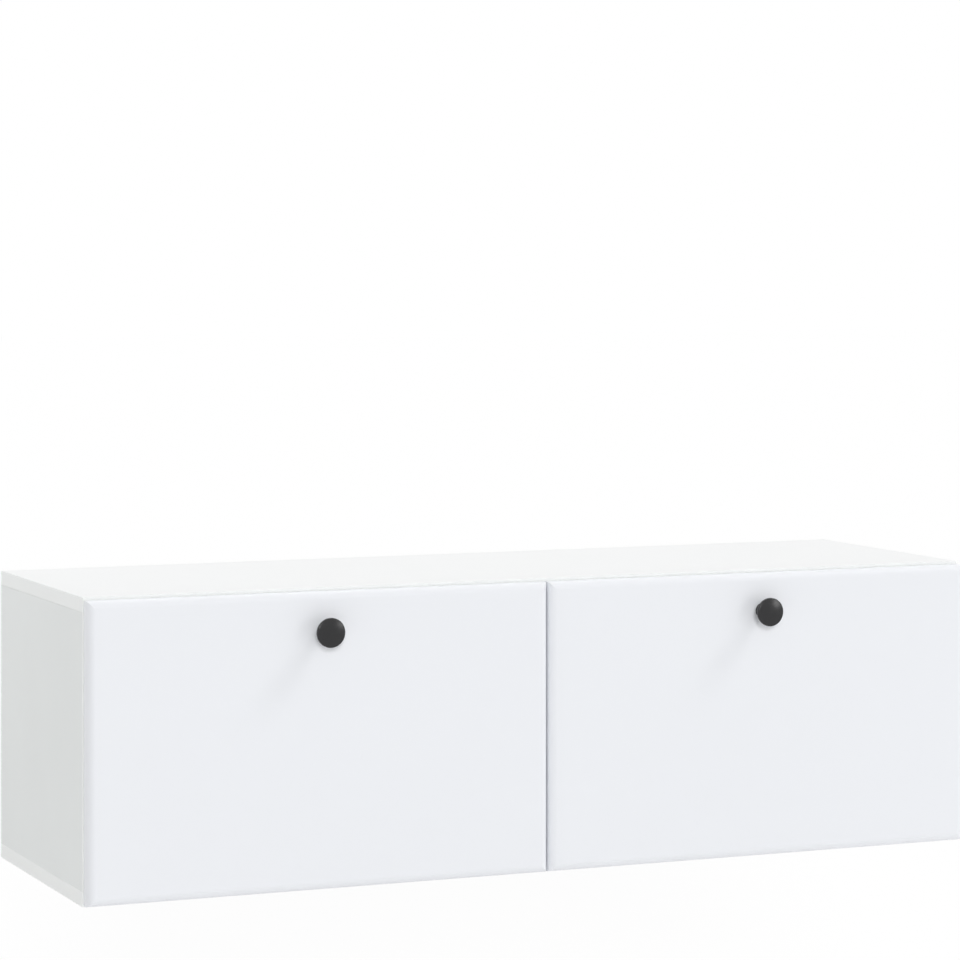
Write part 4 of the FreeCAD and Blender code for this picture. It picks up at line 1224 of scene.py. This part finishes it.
@dataclass(frozen=True)
class Viewpoint:
    """A level camera whose frame is shifted down to take in the console."""

    position: Triple = (-1.4855, -3.6205, 0.4239)
    yaw_degrees: float = 23.087
    lens_mm: float = 130.119
    sensor_mm: float = 36.0
    shift_y: float = -0.24966

    def build(self) -> None:
        """Set up the scene's camera."""
        data = bpy.data.cameras.new("camera")
        data.sensor_width = self.sensor_mm
        data.lens = self.lens_mm
        data.shift_y = self.shift_y
        camera = bpy.data.objects.new("camera", data)
        camera.location = self.position
        camera.rotation_euler = Euler((math.pi / 2, 0.0, -math.radians(self.yaw_degrees)))
        bpy.context.scene.collection.objects.link(camera)
        bpy.context.scene.camera = camera
        LOG.info("set up the camera")


@dataclass
class Studio:
    """A white floor well under the hung console, soft lamps and a white surround."""

    floor_drop: float = 0.32
    floor_size: float = 60.0
    floor_colour: Colour = (0.90, 0.90, 0.90)
    floor_grain: Noise = Noise(40.0)
    floor_shade: float = 0.99
    floor_glow: float = 0.78
    glow_strength: float = 1.06
    surround: float = 0.26
    white: Colour = (1.0, 1.0, 1.0)
    lamps: tuple[DistantLamp, ...] = (
        DistantLamp("left_front_lamp", (-0.30, -0.95, 0.30), 14.0, 1.04),
        DistantLamp("right_window_lamp", (0.78, -0.32, 0.54), 50.0, 0.40),
        DistantLamp("right_front_lamp", (0.60, -0.79, 0.10), 11.0, 0.13),
        DistantLamp("upper_right_lamp", (2.85, -1.0, 3.3), 12.0, 0.60),
        DistantLamp("rear_top_lamp", (0.10, 0.50, 0.86), 60.0, 1.02),
        DistantLamp("rear_left_lamp", (-0.60, 0.80, 0.0), 50.0, 0.88),
    )

    def build(self) -> None:
        """Set up floor, surround, lamps and camera."""
        self._lay_floor()
        self._surround()
        for lamp in self.lamps:
            lamp.build()
        Viewpoint().build()
        bpy.context.scene.view_settings.view_transform = "Standard"

    @staticmethod
    def _seen(graph: Graph) -> Wire:
        """1 for camera, glossy and transmission rays.

        Args:
            graph: The graph that asks.

        Returns:
            The mask.
        """
        path = graph.add("ShaderNodeLightPath")
        camera, glossy, transmitted = (
            Wire(graph, path.outputs[name])
            for name in ("Is Camera Ray", "Is Glossy Ray", "Is Transmission Ray"))
        return camera.top(glossy).top(transmitted)

    def _floor_material(self) -> bpy.types.Material:
        """White where it is seen, matt where it throws light back, clear from below.

        Returns:
            The material.
        """
        graph = Graph("studio_floor")
        tone = graph.noise(self.floor_grain).ramp(*CLOUDY).blend(
            shaded(self.floor_colour, self.floor_shade), self.floor_colour)
        matt = graph.wire("ShaderNodeBsdfDiffuse", {}, {"Color": tone})
        glow = graph.wire("ShaderNodeEmission", {}, {
            "Color": self.white, "Strength": self.glow_strength})
        upper = graph.wire("ShaderNodeMixShader", {}, {
            0: self._seen(graph) * self.floor_glow, 1: matt, 2: glow})
        below = graph.wire("ShaderNodeNewGeometry", output="Backfacing")
        clear = graph.wire("ShaderNodeBsdfTransparent")
        return graph.close(graph.wire("ShaderNodeMixShader", {}, {
            0: below, 1: upper, 2: clear}))

    def _lay_floor(self) -> None:
        """Lay the floor, which shows white but keeps the console's shadow."""
        mesh = bmesh.new()
        bmesh.ops.create_grid(mesh, x_segments=1, y_segments=1, size=self.floor_size / 2)
        floor = place_mesh("floor", mesh, self._floor_material())
        floor.location.z = CAD_BOX[0][2] - self.floor_drop
        LOG.info("laid the floor")

    def _surround(self) -> None:
        """A world that lights evenly and shows white."""
        world = bpy.data.worlds.new("surround")
        bpy.context.scene.world = world
        graph = Graph(world)
        strength = self._seen(graph) * (1.0 - self.surround) + self.surround
        graph.close(graph.wire("ShaderNodeBackground", {}, {
            "Color": self.white, "Strength": strength}))


def main() -> None:
    """Set up the studio, build the scene's own pieces and dress the console."""
    logging.basicConfig(level=logging.INFO, format="%(message)s")
    Studio().build()
    carcass = Carcass()
    carcass.build()
    dresser = Dresser()
    carcass.dress(dresser)
    WallFixing().dress(dresser)
    for side in Side:
        Flap(side).dress(dresser)
    dresser.check()


if __name__ == "__main__":
    main()
